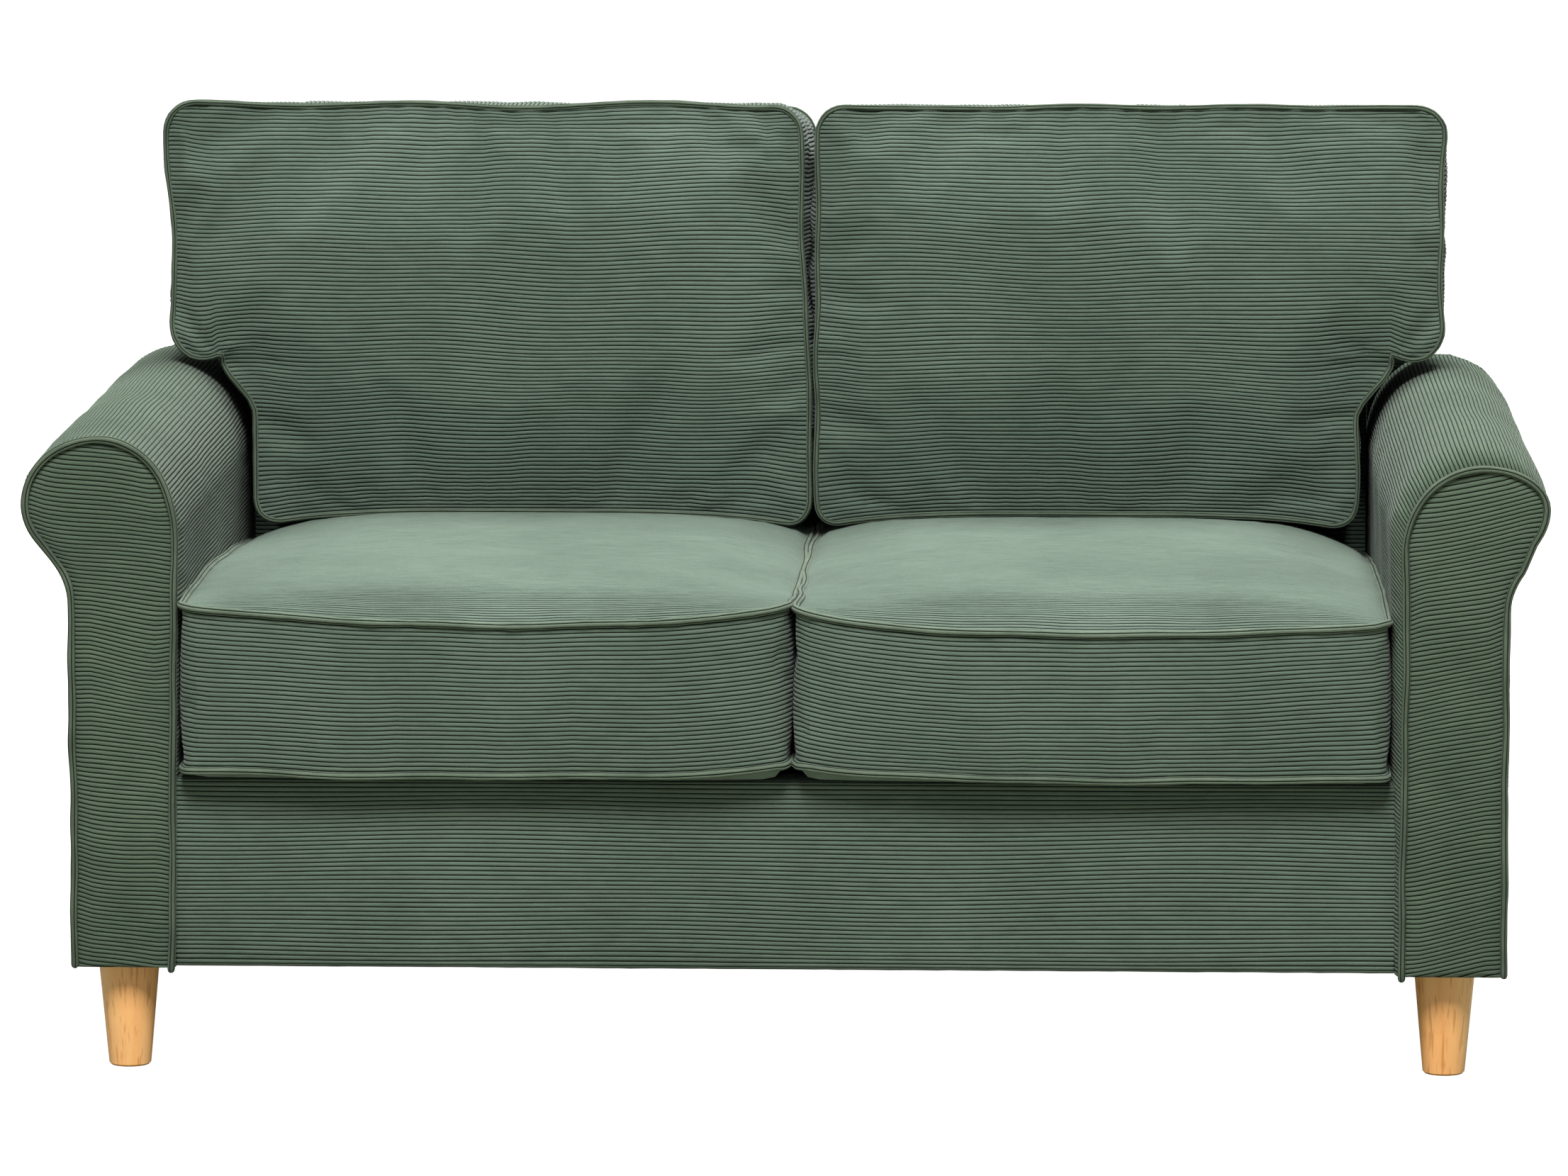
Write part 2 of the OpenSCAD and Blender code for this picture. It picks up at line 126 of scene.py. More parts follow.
def spline_matrix(n, t):
    """Rows that read a line of n points at places t, from 0 to n - 1, by Catmull-Rom."""
    t = np.clip(np.asarray(t, float), 0, n - 1 - 1e-9)
    i = np.floor(t).astype(int)
    f = t - i
    weights = (-0.5 * f + f**2 - 0.5 * f**3, 1 - 2.5 * f**2 + 1.5 * f**3,
               0.5 * f + 2 * f**2 - 1.5 * f**3, -0.5 * f**2 + 0.5 * f**3)
    m = np.zeros((len(t), n + 2))
    rows = np.arange(len(t))
    for k, w in enumerate(weights):
        np.add.at(m, (rows, i + k), w)
    m[:, 1] += 2 * m[:, 0]
    m[:, 2] -= m[:, 0]
    m[:, n] += 2 * m[:, n + 1]
    m[:, n - 1] -= m[:, n + 1]
    return m[:, 1:n + 1]


def unit(v):
    return v / np.maximum(np.linalg.norm(v, axis=-1, keepdims=True), 1e-12)


def grid_normals(p):
    """Normals of a grid of points, by the right-hand rule from its first axis to its second."""
    return unit(np.cross(np.gradient(p, axis=0), np.gradient(p, axis=1)))


def line_lengths(points):
    """Distance along a line of points, from 0."""
    steps = np.linalg.norm(np.diff(points, axis=0), axis=-1)
    return np.concatenate([[0.0], np.cumsum(steps)])


def resample(points, spacing, closed=False):
    """A line of points at an even spacing, about the one asked for."""
    points = np.asarray(points, float)
    if closed:
        points = np.vstack([points, points[:1]])
    s = line_lengths(points)
    n = max(2, int(round(s[-1] / spacing)) + 1)
    t = np.linspace(0, s[-1], n)
    out = np.stack([np.interp(t, s, points[:, k]) for k in range(points.shape[1])], 1)
    return out[:-1] if closed else out


def arc(cx, cz, rx, rz, a, b, n):
    t = np.radians(np.linspace(a, b, n + 1))
    return np.stack([cx + rx * np.cos(t), cz + rz * np.sin(t)], 1)


# ---------------------------------------------------------------- meshes
def add_object(name, data):
    obj = bpy.data.objects.new(name, data)
    bpy.context.scene.collection.objects.link(obj)
    return obj


class Shell:
    """Gathers grids of points into one mesh with two UV maps: one for baking, and one in metres along
    and across the wales."""

    def __init__(self):
        self.co, self.quads, self.uv, self.weave, self.slots, self.count = [], [], [], [], [], 0

    def grid(self, p, cell=(0, 0, 1, 1), flip=False, wales=False):
        """Adds a grid of points. cell is its share of the UV square; wales gives the faces down in the
        grooves a dark material of painted shade."""
        nu, nv = p.shape[:2]
        i = np.arange(nu * nv).reshape(nu, nv) + self.count
        q = np.stack([i[:-1, :-1], i[1:, :-1], i[1:, 1:], i[:-1, 1:]], -1).reshape(-1, 4)
        u, v = np.meshgrid(np.linspace(cell[0], cell[2], nv), np.linspace(cell[1], cell[3], nu))
        steps = np.linalg.norm(np.diff(p, axis=1), axis=2).mean(0)
        apart = 3.7 * len(self.co)                         # keeps two grids' noise from matching
        along = np.concatenate([[0.0], np.cumsum(steps)]) + apart
        a, b = np.meshgrid(along, np.arange(nu) * (PITCH / len(WALE)))
        # dark picks the faces down in each groove, which take the painted shade
        dark = np.isin(np.arange(nu - 1) % len(WALE), (0, len(WALE) - 1)) & wales
        self.quads.append(q[:, ::-1] if flip else q)
        self.uv.append(np.stack([u, v], -1).reshape(-1, 2))
        self.weave.append(np.stack([a, b], -1).reshape(-1, 2))
        self.slots.append(np.repeat(dark, nv - 1).astype(np.int32))
        self.co.append(p.reshape(-1, 3))
        self.count += nu * nv
        return self

    def ribbed(self, g, cell=(0, 0, 1, 1), flip=False, **how):
        """Adds a coarse grid as corduroy, the faces down in its grooves in the dark material of painted
        shade.
        """
        return self.grid(corduroy(g, flip, **how), cell, flip, wales=True)

    def build(self, name, material):
        co = np.vstack(self.co)
        quads = np.vstack(self.quads)
        slots = np.concatenate(self.slots)
        mesh = bpy.data.meshes.new(name)
        mesh.vertices.add(len(co))
        mesh.vertices.foreach_set("co", co.astype(np.float32).ravel())
        mesh.loops.add(quads.size)
        mesh.loops.foreach_set("vertex_index", quads.astype(np.int32).ravel())
        mesh.polygons.add(len(quads))
        mesh.polygons.foreach_set("loop_start", np.arange(0, quads.size, 4, dtype=np.int32))
        mesh.polygons.foreach_set("use_smooth", np.ones(len(quads), bool))
        mesh.polygons.foreach_set("material_index", slots)
        for layer_name, table in (("OFBake", self.uv), ("Weave", self.weave)):
            layer = mesh.uv_layers.new(name=layer_name)
            layer.data.foreach_set("uv", np.vstack(table)[quads.ravel()].astype(np.float32).ravel())
        mesh.update(calc_edges=True)
        mesh.materials.append(material)
        # The groove faces take a second material: a dark colour of painted shade
        if slots.any():
            mesh.materials.append(CORD_GROOVE_SHADE)
        return add_object(name, mesh)


def wale_rows(wales):
    """Places from 0 to 1, and heights, of the lines of points across a number of wales."""
    place = np.array([(w + f) / wales for w in range(wales) for f, _ in WALE] + [1.0])
    return place, np.array([h for _, h in WALE] * wales + [WALE[0][1]])


def corduroy(g, flip=False, wrap_v=False, along=ALONG, depth=GROOVE, v_range=None, seed=1):
    """Reads a coarse grid finely and cuts wales into it. Wales run along the grid's second axis, along
    metres apart in points; v_range is the part of that axis that is kept, wrap_v joins its two ends, and
    flip turns the outside over."""
    nu, nv = g.shape[:2]
    rows = np.linalg.norm(np.diff(g, axis=0), axis=2).mean(1)
    s = np.concatenate([[0.0], np.cumsum(rows)])
    place, height = wale_rows(max(1, int(round(s[-1] / PITCH))))
    tu = np.interp(place * s[-1], s, np.arange(nu))
    columns = np.linalg.norm(np.diff(g, axis=1), axis=2).max(0).sum()
    low, high = v_range or (0, nv - 1)
    steps = max(2, int(round(columns * (high - low) / (nv - 1) / along)))
    tv = np.linspace(low, high, steps + 1)
    p = np.einsum("ai,ijk,bj->abk", spline_matrix(nu, tu), g, spline_matrix(nv, tv), optimize=True)
    n = grid_normals(p)
    if wrap_v:
        n[:, 0] = n[:, -1] = unit(n[:, 0] + n[:, -1])
    wobble = ripple(seed, 9, 0.012, 0.06)
    u_metres = (place * s[-1])[:, None]
    v_metres = np.linspace(0, columns, steps + 1)[None, :]
    wave = 0.10 * GROOVE * wobble(u_metres, v_metres)
    lift = depth * height[:, None] + np.where(height[:, None] < -0.9, 0, wave)
    return p + n * lift[..., None] * (-1 if flip else 1)


def tube(path, radius, closed, facing):
    """Grid of points round a path, with wales along it. facing is the side its first wale turns to."""
    p = np.asarray(path, float)
    q = np.vstack([p[-1:], p, p[:1]]) if closed else np.vstack([2 * p[0] - p[1], p, 2 * p[-1] - p[-2]])
    tangent = unit(q[2:] - q[:-2])
    normal = np.zeros_like(p)
    last = np.asarray(facing, float)
    for i, t in enumerate(tangent):
        last = unit(last - t * (last @ t))
        normal[i] = last
    side = np.cross(tangent, normal)
    place, height = wale_rows(PIPE_WALES)
    angle = 2 * np.pi * (place[:, None] - 0.04)
    lift = 1 + PIPE_GROOVE * height[:, None]
    r = (np.broadcast_to(np.asarray(radius, float), (len(p),)) * lift)[..., None]
    out = p[None] + r * (normal * np.cos(angle)[..., None] + side * np.sin(angle)[..., None])
    return np.concatenate([out, out[:, :1]], 1) if closed else out


def piping(shell, path, facing, closed=True, radius=PIPE_R, seed=3, cell=(0, 0, 1, 1)):
    """A cord of piping along a path, with the slight unevenness of a sewn one and rounded ends."""
    path = resample(path, PIPE_STEP, closed)
    s = np.arange(len(path)) * PIPE_STEP
    wave = ripple(seed, 5, 0.02, 0.07)
    fade = np.minimum(1, np.minimum(s, s[-1] - s) / 0.04)
    thick = radius * (1 + 0.07 * wave(s) * fade)
    if not closed:
        k = np.array([1.0, 0.9, 0.6])
        first = path[0] + unit(path[0] - path[1]) * radius * k[:, None]
        last = path[-1] + unit(path[-1] - path[-2]) * radius * k[::-1, None]
        round_off = radius * np.sqrt(np.maximum(1 - k**2, 0.0004))
        path = np.vstack([first, path, last])
        thick = np.concatenate([round_off, thick, round_off[::-1]])
    # The cord's grooves take the dark material of painted shade
    shell.grid(tube(path, thick, closed, facing), cell, flip=True, wales=True)


# ---------------------------------------------------------------- materials
def srgb(r, g, b):
    """Linear colour of an 8-bit sRGB one."""
    out = []
    for c in (r, g, b):
        c = c / 255
        out.append(c / 12.92 if c <= 0.04045 else ((c + 0.055) / 1.055) ** 2.4)
    return (*out, 1.0)


def new_material(name, **sockets):
    material = bpy.data.materials.new(name)
    material.use_nodes = True
    shader = material.node_tree.nodes["Principled BSDF"]
    for key, value in sockets.items():
        shader.inputs[key.replace("_", " ")].default_value = value
    return material, material.node_tree.nodes, material.node_tree.links, shader


def noise(nodes, links, scale, detail, stretch=(1, 1, 1), rough=0.5, weave=False):
    """Noise in the object's metres, or in the cloth's metres along and across its wales."""
    if weave:
        place = nodes.new("ShaderNodeUVMap")
        place.uv_map = "Weave"
        source = place.outputs["UV"]
    else:
        place = nodes.new("ShaderNodeTexCoord")
        source = place.outputs["Object"]
    mapping = nodes.new("ShaderNodeMapping")
    mapping.inputs["Scale"].default_value = stretch
    texture = nodes.new("ShaderNodeTexNoise")
    texture.inputs["Scale"].default_value = scale
    texture.inputs["Detail"].default_value = detail
    texture.inputs["Roughness"].default_value = rough
    links.new(source, mapping.inputs["Vector"])
    links.new(mapping.outputs["Vector"], texture.inputs["Vector"])
    return texture


def ramp(nodes, links, source, stops):
    node = nodes.new("ShaderNodeValToRGB")
    while len(node.color_ramp.elements) < len(stops):
        node.color_ramp.elements.new(0.5)
    for element, (at, colour) in zip(node.color_ramp.elements, stops):
        element.position = at
        element.color = colour
    links.new(source, node.inputs["Fac"])
    return node


def bump(nodes, links, shader, source, strength, distance):
    node = nodes.new("ShaderNodeBump")
    node.inputs["Strength"].default_value = strength
    node.inputs["Distance"].default_value = distance
    links.new(source, node.inputs["Height"])
    links.new(node.outputs["Normal"], shader.inputs["Normal"])


def cloth_material(name, dark, light, sheen, patch=5.0, streak=0.45):
    """Pile cloth: crushed-nap patches, wales that differ from their neighbours, sheen and a fine tuft."""
    material, nodes, links, shader = new_material(
        name, Roughness=0.95, Sheen_Weight=sheen, Sheen_Roughness=0.35,
        Sheen_Tint=(0.93, 0.83, 0.95, 1), Specular_IOR_Level=0.15)
    patches = noise(nodes, links, patch, 6, rough=0.55)
    streaks = noise(nodes, links, 1, 2, (30, 230, 1), 0.6, weave=True)
    mix = nodes.new("ShaderNodeMix")
    mix.inputs["Factor"].default_value = streak
    links.new(patches.outputs["Fac"], mix.inputs["A"])
    links.new(streaks.outputs["Fac"], mix.inputs["B"])
    colours = ramp(nodes, links, mix.outputs["Result"], [(0.34, dark), (0.66, light)])
    links.new(colours.outputs["Color"], shader.inputs["Base Color"])
    tufts = noise(nodes, links, 1, 2, (900, 1300, 1), 0.7, weave=True)
    bump(nodes, links, shader, tufts.outputs["Fac"], 0.8, 0.0011)
    return material


def groove_shade_material():
    """Painted shade: a dark colour on the faces down in each groove between the wales, where shade falls."""
    return new_material("corduroy_groove_painted_shade", Base_Color=srgb(28, 35, 28), Roughness=1.0, Sheen_Weight=0.1,
                        Sheen_Roughness=0.4, Specular_IOR_Level=0.1)[0]


CORD_CLOTH = cloth_material("corduroy", srgb(83, 98, 86), srgb(103, 119, 106), 0.21)
CORD_SLEEVE = cloth_material("corduroy_sleeve", srgb(75, 90, 75), srgb(95, 111, 94), 0.12)
CORD_PIPE = cloth_material("piping", srgb(70, 82, 68), srgb(94, 107, 90), 0.10, 20, 0.3)
SEAT_PIPE = cloth_material("seat_piping", srgb(84, 97, 83), srgb(108, 122, 105), 0.10, 20, 0.3)
# The grooves' dark material is painted shade, not the cloth's own colour
CORD_GROOVE_SHADE = groove_shade_material()


def plain_material(name, colour, roughness, scale=60, spread=0.12, metallic=0.0, grain=(1, 1, 1),
                   height=0.0002, **sockets):
    """A colour varied by noise, with a light bump."""
    material, nodes, links, shader = new_material(
        name, Roughness=roughness, Metallic=metallic, **sockets)
    texture = noise(nodes, links, scale, 4, grain)
    dark = tuple(c * (1 - spread) for c in colour[:3]) + (1,)
    light = tuple(min(1, c * (1 + spread)) for c in colour[:3]) + (1,)
    colours = ramp(nodes, links, texture.outputs["Fac"], [(0.3, dark), (0.7, light)])
    links.new(colours.outputs["Color"], shader.inputs["Base Color"])
    bump(nodes, links, shader, texture.outputs["Fac"], 0.3, height)
    return material


def leg_material():
    """Light lacquered wood with upright grain and short dark pores."""
    material, nodes, links, shader = new_material(
        "leg_wood", Roughness=0.42, Coat_Weight=0.15, Coat_Roughness=0.3)
    rings = noise(nodes, links, 34, 5, (1, 1, 0.09), 0.6)
    colours = ramp(nodes, links, rings.outputs["Fac"], [
        (0.28, srgb(236, 164, 94)), (0.5, srgb(251, 187, 119)), (0.72, srgb(254, 202, 138))])
    pores = noise(nodes, links, 260, 2, (1, 1, 0.07), 0.5)
    flecks = ramp(nodes, links, pores.outputs["Fac"], [(0.34, (0.72, 0.62, 0.5, 1)), (0.42, (1, 1, 1, 1))])
    mix = nodes.new("ShaderNodeMix")
    mix.data_type = "RGBA"
    mix.blend_type = "MULTIPLY"
    mix.inputs["Factor"].default_value = 0.8
    links.new(colours.outputs["Color"], mix.inputs[6])
    links.new(flecks.outputs["Color"], mix.inputs[7])
    links.new(mix.outputs[2], shader.inputs["Base Color"])
    bump(nodes, links, shader, pores.outputs["Fac"], 0.15, 0.0003)
    return material


LEG_WOOD = leg_material()
TIMBER = plain_material("timber", srgb(205, 172, 124), 0.7, 30, 0.16, grain=(1, 0.1, 1))
BOARD = plain_material("fibreboard", srgb(150, 112, 76), 0.85, 220, 0.12)
FOAM = plain_material("foam", srgb(238, 232, 208), 0.95, 500, 0.05)
LINING = plain_material("lining", srgb(34, 35, 36), 0.9, 700, 0.25)
WEBBING = plain_material("webbing", srgb(176, 152, 108), 0.9, 240, 0.2, grain=(0.2, 1, 1))
STEEL = plain_material("steel", srgb(176, 177, 180), 0.38, 90, 0.06, 1.0)
ZIP_TAPE = plain_material("zip_tape", srgb(60, 70, 60), 0.85, 500, 0.15)
SLOT_LOOK = {"timber": TIMBER, "fibreboard": BOARD, "foam": FOAM, "lining": LINING, "webbing": WEBBING,
             "steel": STEEL, "zip_tape": ZIP_TAPE, "leg_wood": LEG_WOOD, "corduroy": CORD_CLOTH,
             "piping": CORD_PIPE}
for part in frame["record"]["subparts"]:
    slots = NODES[part["node"]].data.materials
    slots.clear()
    slots.append(SLOT_LOOK[part["material_slot"]])


def finish_piece(obj, body, slot, *replaced):
    """A finished piece rides on its body and stands for the CAD nodes it replaces."""
    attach(obj, body)
    if replaced:
        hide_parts(*replaced)
    return obj


# ---------------------------------------------------------------- cushions
class Cage:
    """A stuffed form: a front panel, a rear panel and a boxing strip between them, as coarse grids.
    plan is the panel's grid in two coordinates; mask says which of its points exist; loop walks its
    edge; place(plan points, depth) gives the points in space, where depth runs from 0 at the front
    panel to 1 at the rear one."""

    def __init__(self, plan, mask, loop, place, rings):
        self.mask, self.loop, self.rings = mask, loop, rings
        nu, nv = mask.shape
        ids = np.full((2, nu, nv), -1)
        ids[0][mask] = np.arange(mask.sum())
        ids[1][mask] = np.arange(mask.sum()) + mask.sum()
        count = 2 * mask.sum()
        strip = np.zeros((rings + 1, len(loop)), int)
        li, lj = np.array(loop).T
        strip[0], strip[-1] = ids[0][li, lj], ids[1][li, lj]
        strip[1:-1] = np.arange((rings - 1) * len(loop)).reshape(rings - 1, -1) + count
        self.ids, self.strip = ids, strip
        self.co = np.zeros((count + (rings - 1) * len(loop), 3))
        self.co[ids[0][mask]] = place(plan[mask], 0.0)
        self.co[ids[1][mask]] = place(plan[mask], 1.0)
        for k in range(1, rings):
            self.co[strip[k]] = place(plan[li, lj], k / rings)
        faces = []
        for side in (0, 1):
            g = ids[side]
            q = np.stack([g[:-1, :-1], g[1:, :-1], g[1:, 1:], g[:-1, 1:]], -1).reshape(-1, 4)
            q = q[(q >= 0).all(1)]
            faces.append(q if side == 0 else q[:, ::-1])
        nxt = np.roll(strip, -1, 1)
        faces.append(np.stack([strip[:-1], nxt[:-1], nxt[1:], strip[1:]], -1).reshape(-1, 4))
        self.faces = np.vstack(faces)
        # The faces look outwards when the volume they close is positive
        a, b, c, d = (self.co[self.faces[:, k]] for k in range(4))
        if np.einsum("ij,ij->", np.cross(c - a, d - b), a + b + c + d) < 0:
            self.faces = self.faces[:, ::-1]
        self.seams = np.unique(np.concatenate([strip[0], strip[-1]]))

    def grid(self, side):
        """Points of a panel's grid; those that don't exist are zeros."""
        out = np.zeros(self.mask.shape + (3,))
        out[self.mask] = self.co[self.ids[side][self.mask]]
        return out

    def mesh(self, name):
        mesh = bpy.data.meshes.new(name)
        mesh.from_pydata(self.co.tolist(), [], self.faces.tolist())
        mesh.update()
        return mesh

    def boxing(self):
        """Points of the boxing strip, closed on itself with three columns over at each end."""
        s = self.strip
        return self.co[np.concatenate([s[:, -3:], s, s[:, :4]], 1)]


def inflate(cage, name, pinned, pressure, slack, cap):
    """Fills the cage by a cloth simulation with air pressure. The pinned points stay, and no point
    moves more than its cap."""
    obj = add_object(name, cage.mesh(name))
    group = obj.vertex_groups.new(name="held")
    group.add([int(i) for i in pinned], 1.0, "REPLACE")
    modifier = obj.modifiers.new("Cloth", "CLOTH")
    cloth = modifier.settings
    cloth.quality = 6
    cloth.mass = 0.35
    cloth.tension_stiffness = 30
    cloth.compression_stiffness = 30
    cloth.shear_stiffness = 12
    cloth.bending_stiffness = 3
    cloth.use_pressure = True
    cloth.uniform_pressure_force = pressure
    cloth.effector_weights.gravity = 0
    cloth.shrink_min = -slack
    cloth.vertex_group_mass = "held"
    scene = bpy.context.scene
    for f in range(1, 21):
        scene.frame_set(f)
    shaped = obj.evaluated_get(bpy.context.evaluated_depsgraph_get()).to_mesh()
    co = np.zeros(len(cage.co) * 3)
    shaped.vertices.foreach_get("co", co)
    co = co.reshape(-1, 3)
    scene.frame_set(1)
    bpy.data.objects.remove(obj)
    move = co - cage.co
    size = np.linalg.norm(move, axis=1)
    cage.co = cage.co + move * np.minimum(1, cap / np.maximum(size, 1e-9))[:, None]


def panel_loop(mask):
    """Edge of a masked grid, walked once round from its first row."""
    nu, nv = mask.shape
    ear = int(np.argmax(mask[0]))                      # first column of the first row
    step = int(np.argmax(mask[:, 0]))                  # first row of the first column
    loop = [(0, j) for j in range(ear, nv)]
    loop += [(i, nv - 1) for i in range(1, nu)]
    loop += [(nu - 1, j) for j in range(nv - 2, -1, -1)]
    loop += [(i, 0) for i in range(nu - 2, step - 1, -1)]
    if step:
        loop += [(step, j) for j in range(1, ear + 1)]
        loop += [(i, ear) for i in range(step - 1, 0, -1)]
    else:
        loop = loop[:-1]
    return loop


def core_of(cage, name, body, node, inset):
    """Foam core: the cage drawn in along its normals."""
    mesh = cage.mesh(name)
    normals = np.zeros(cage.co.size)
    mesh.vertices.foreach_get("normal", normals)
    mesh.vertices.foreach_set("co", (cage.co - inset * normals.reshape(-1, 3)).ravel())
    mesh.polygons.foreach_set("use_smooth", np.ones(len(cage.faces), bool))
    mesh.materials.append(FOAM)
    mesh.update()
    finish_piece(add_object(name, mesh), body, "foam", node)


def spaced(low, high, r_low, r_high):
    """Places from low to high, a cell apart, and closer over the rounding of a corner at each end."""
    bend = 1 - np.cos(np.linspace(0, np.pi / 2, 6))
    middle = high - r_high - low - r_low
    inside = low + r_low + np.linspace(0, middle, max(2, int(round(middle / CELL)) + 1))
    first = low + r_low * bend[:-1] if r_low else []
    last = high - r_high * bend[:-1][::-1] if r_high else []
    return np.concatenate([first, inside, last])


def round_in(d, r):
    """How far a rounded corner of radius r has come in, at distance d from the edge's end."""
    d = np.clip(d, 0, r)
    return r - np.sqrt(np.maximum(r * r - (r - d) ** 2, 0))


# Shape of each seat cushion: how far the upper front seam rises at its outer and inner ends and dips
# between, how fast the outer side line falls towards the rear, and how full the crown is
SEAT_SHAPES = {"left": (0.013, 0.016, 0.005, 0.086, 0.68), "right": (0.001, 0.014, 0.012, 0.088, 0.60)}
SEAT_CORNER = 0.014


def seat_cushion(side):
    """Boxed seat cushion: crowned top, upright boxing with wales round it, and a flat underside that
    sags a little where it overhangs the rail."""
    low, high = corners("seat_cover_" + side)
    low, high = low - (0.002 * (side == "left"), 0, 0), high + (0.003 * (side == "right"), 0, 0)
    pipe_low, pipe_high = corners("seat_piping_" + side)
    body = "seat_cushion_" + side
    seed = 11 if side == "left" else 23
    outer_rise, inner_rise, dip, lean, fullness = SEAT_SHAPES[side]
    top_z = pipe_high[2] - 0.003
    low_z = pipe_low[2] + 0.004
    y = spaced(low[1], high[1], SEAT_CORNER, SEAT_CORNER)[:, None]
    nu = len(y)
    nv = int(round((high[0] - low[0]) / CELL)) + 1
    t = np.linspace(0, 1, nv)[None, :]
    cut = round_in(np.minimum(y - low[1], high[1] - y), SEAT_CORNER)
    x = (low[0] + cut) + (high[0] - low[0] - 2 * cut) * t
    plan = np.stack([x, y + 0 * t], -1)
    wave = ripple(seed, 6, 0.10, 0.32)
    slow = ripple(seed + 5, 4, 0.25, 0.6)
    width = high[0] - low[0]
    depth = high[1] - low[1]
    crown_h = high[2] - top_z

    def place(q, down):
        """Depth 0 is the top panel and 1 the underside."""
        u = np.clip((q[:, 0] - low[0]) / width, 0, 1)
        v = np.clip((q[:, 1] - low[1]) / depth, 0, 1)
        outer = 1 - u if side == "left" else u
        edge = np.minimum(np.minimum(u, 1 - u) * width, np.minimum(v, 1 - v) * depth)
        near = 1 - smooth(edge, 0.0, 0.05)
        front = 1 - smooth(v, 0.0, 0.35)
        lift = ((inner_rise + dip) * (1 - outer) ** 6 - dip) * front
        back_way = v * depth
        lift = lift + (outer_rise + dip * front + 0.015 * back_way - lean * back_way**2) * outer**4
        lift = lift - 0.005 * smooth(v, 0.2, 0.75) * (1 - outer) ** 2
        # The crown: round at the sides, softer at the outer rear, and steep at the front and rear
        soft = 0.45 + 0.33 * smooth(v, 0.3, 0.7) * outer**2
        from_middle = np.abs(2 * v - 1)
        at_front = (1 - from_middle**5.6) ** 0.52
        at_rear = (1 - from_middle**7.0) ** 0.45
        dome = (1 - np.abs(2 * u - 1) ** 3.2) ** soft * np.where(v < 0.5, at_front, at_rear)
        top = top_z + lift + (fullness * crown_h - lift) * dome + 0.0010 * near * wave(q[:, 0], q[:, 1])
        rim = low_z + (0.004 * outer**8 + 0.013 * (1 - outer) ** 7) * front
        rim = rim + 0.0012 * near * wave(q[:, 1], q[:, 0])
        under = low_z - 0.005 + (rim - low_z + 0.005) * (1 - smooth(edge, 0.0, 0.018))
        sway = 0.0026 * math.sin(math.pi * down) * slow(q[:, 0] + q[:, 1], 0.3)
        z = top + ((under if down == 1 else rim) - top) * down + sway
        push = (0.0014 + 0.0014 * (outer < 0.1)) * near * wave(q[:, 0] * 0.7, q[:, 1] * 0.7 + 0.2 * down)
        push = push * (1 - outer**8) * smooth(v, 0.0, 0.1) * smooth(1 - v, 0.0, 0.05)
        forward = 0.003 * front * (1 - np.abs(2 * u - 1) ** 4) * (v < 0.05)
        return np.stack([q[:, 0] - np.sign(u - 0.5) * push,
                         q[:, 1] + np.where(v < 0.5, 1, -1) * push - forward, z], -1)

    mask = np.ones((nu, nv), bool)
    cage = Cage(plan, mask, panel_loop(mask), place, 13)
    rear = np.where(cage.co[:, 1] > high[1] - 0.030)[0]
    held = np.unique(np.concatenate([cage.seams, cage.ids[1][mask], rear]))
    side_gap = np.minimum(cage.co[:, 0] - low[0], high[0] - cage.co[:, 0])
    upper = cage.co[:, 2] > top_z - 0.003
    cap = np.where(upper, 0.003 + 0.003 * smooth(side_gap, 0.0, 0.12), 0.010)
    before = cage.grid(0)
    inflate(cage, body + "_cloth", held, 2.2, 0.003, cap)
    # The top's own share of the swelling is evened out, so that it doesn't wrinkle
    move = cage.grid(0) - before
    for _ in range(12):
        around = move[:-2, 1:-1] + move[2:, 1:-1] + move[1:-1, :-2] + move[1:-1, 2:]
        move[1:-1, 1:-1] = 0.5 * move[1:-1, 1:-1] + 0.125 * around
    cage.co[cage.ids[0][mask]] = (before + move)[mask]
    # The top is pressed down where the back cushion rests on it
    clear = 1 - smooth(cage.co[:, 1], BACK_FRONT - 0.030, BACK_FRONT - 0.008)
    cage.co[:, 2] = np.minimum(cage.co[:, 2], BACK_FOOT - 0.005 + 0.020 * clear)
    top, bottom, strip = cage.grid(0), cage.grid(1), cage.boxing()
    shell = Shell()
    shell.ribbed(top, (0.02, 0.50, 0.98, 0.98), True, depth=1.6 * GROOVE, seed=seed)
    shell.grid(bottom, (0.02, 0.30, 0.40, 0.48))
    shell.ribbed(strip, (0.02, 0.02, 0.98, 0.28), seed=seed + 1, wrap_v=True,
                 v_range=(3, strip.shape[1] - 4))
    cover = finish_piece(shell.build(body, CORD_CLOTH), body, "corduroy", "seat_cover_" + side)
    cords = Shell()
    for k, ring in enumerate((cage.strip[0], cage.strip[-1])):
        path = cage.co[ring]
        out = unit((path - path.mean(0)) * (1, 1, 0))
        piping(cords, path + out * 0.0012, (0, 0, 1 - 2 * k), radius=0.0040, seed=seed + k,
               cell=(0, k / 2, 1, (k + 1) / 2))
    finish_piece(cords.build(body + "_piping", SEAT_PIPE), body, "piping", "seat_piping_" + side)
    core_of(cage, body + "_core", body, "seat_core_" + side, 0.012)


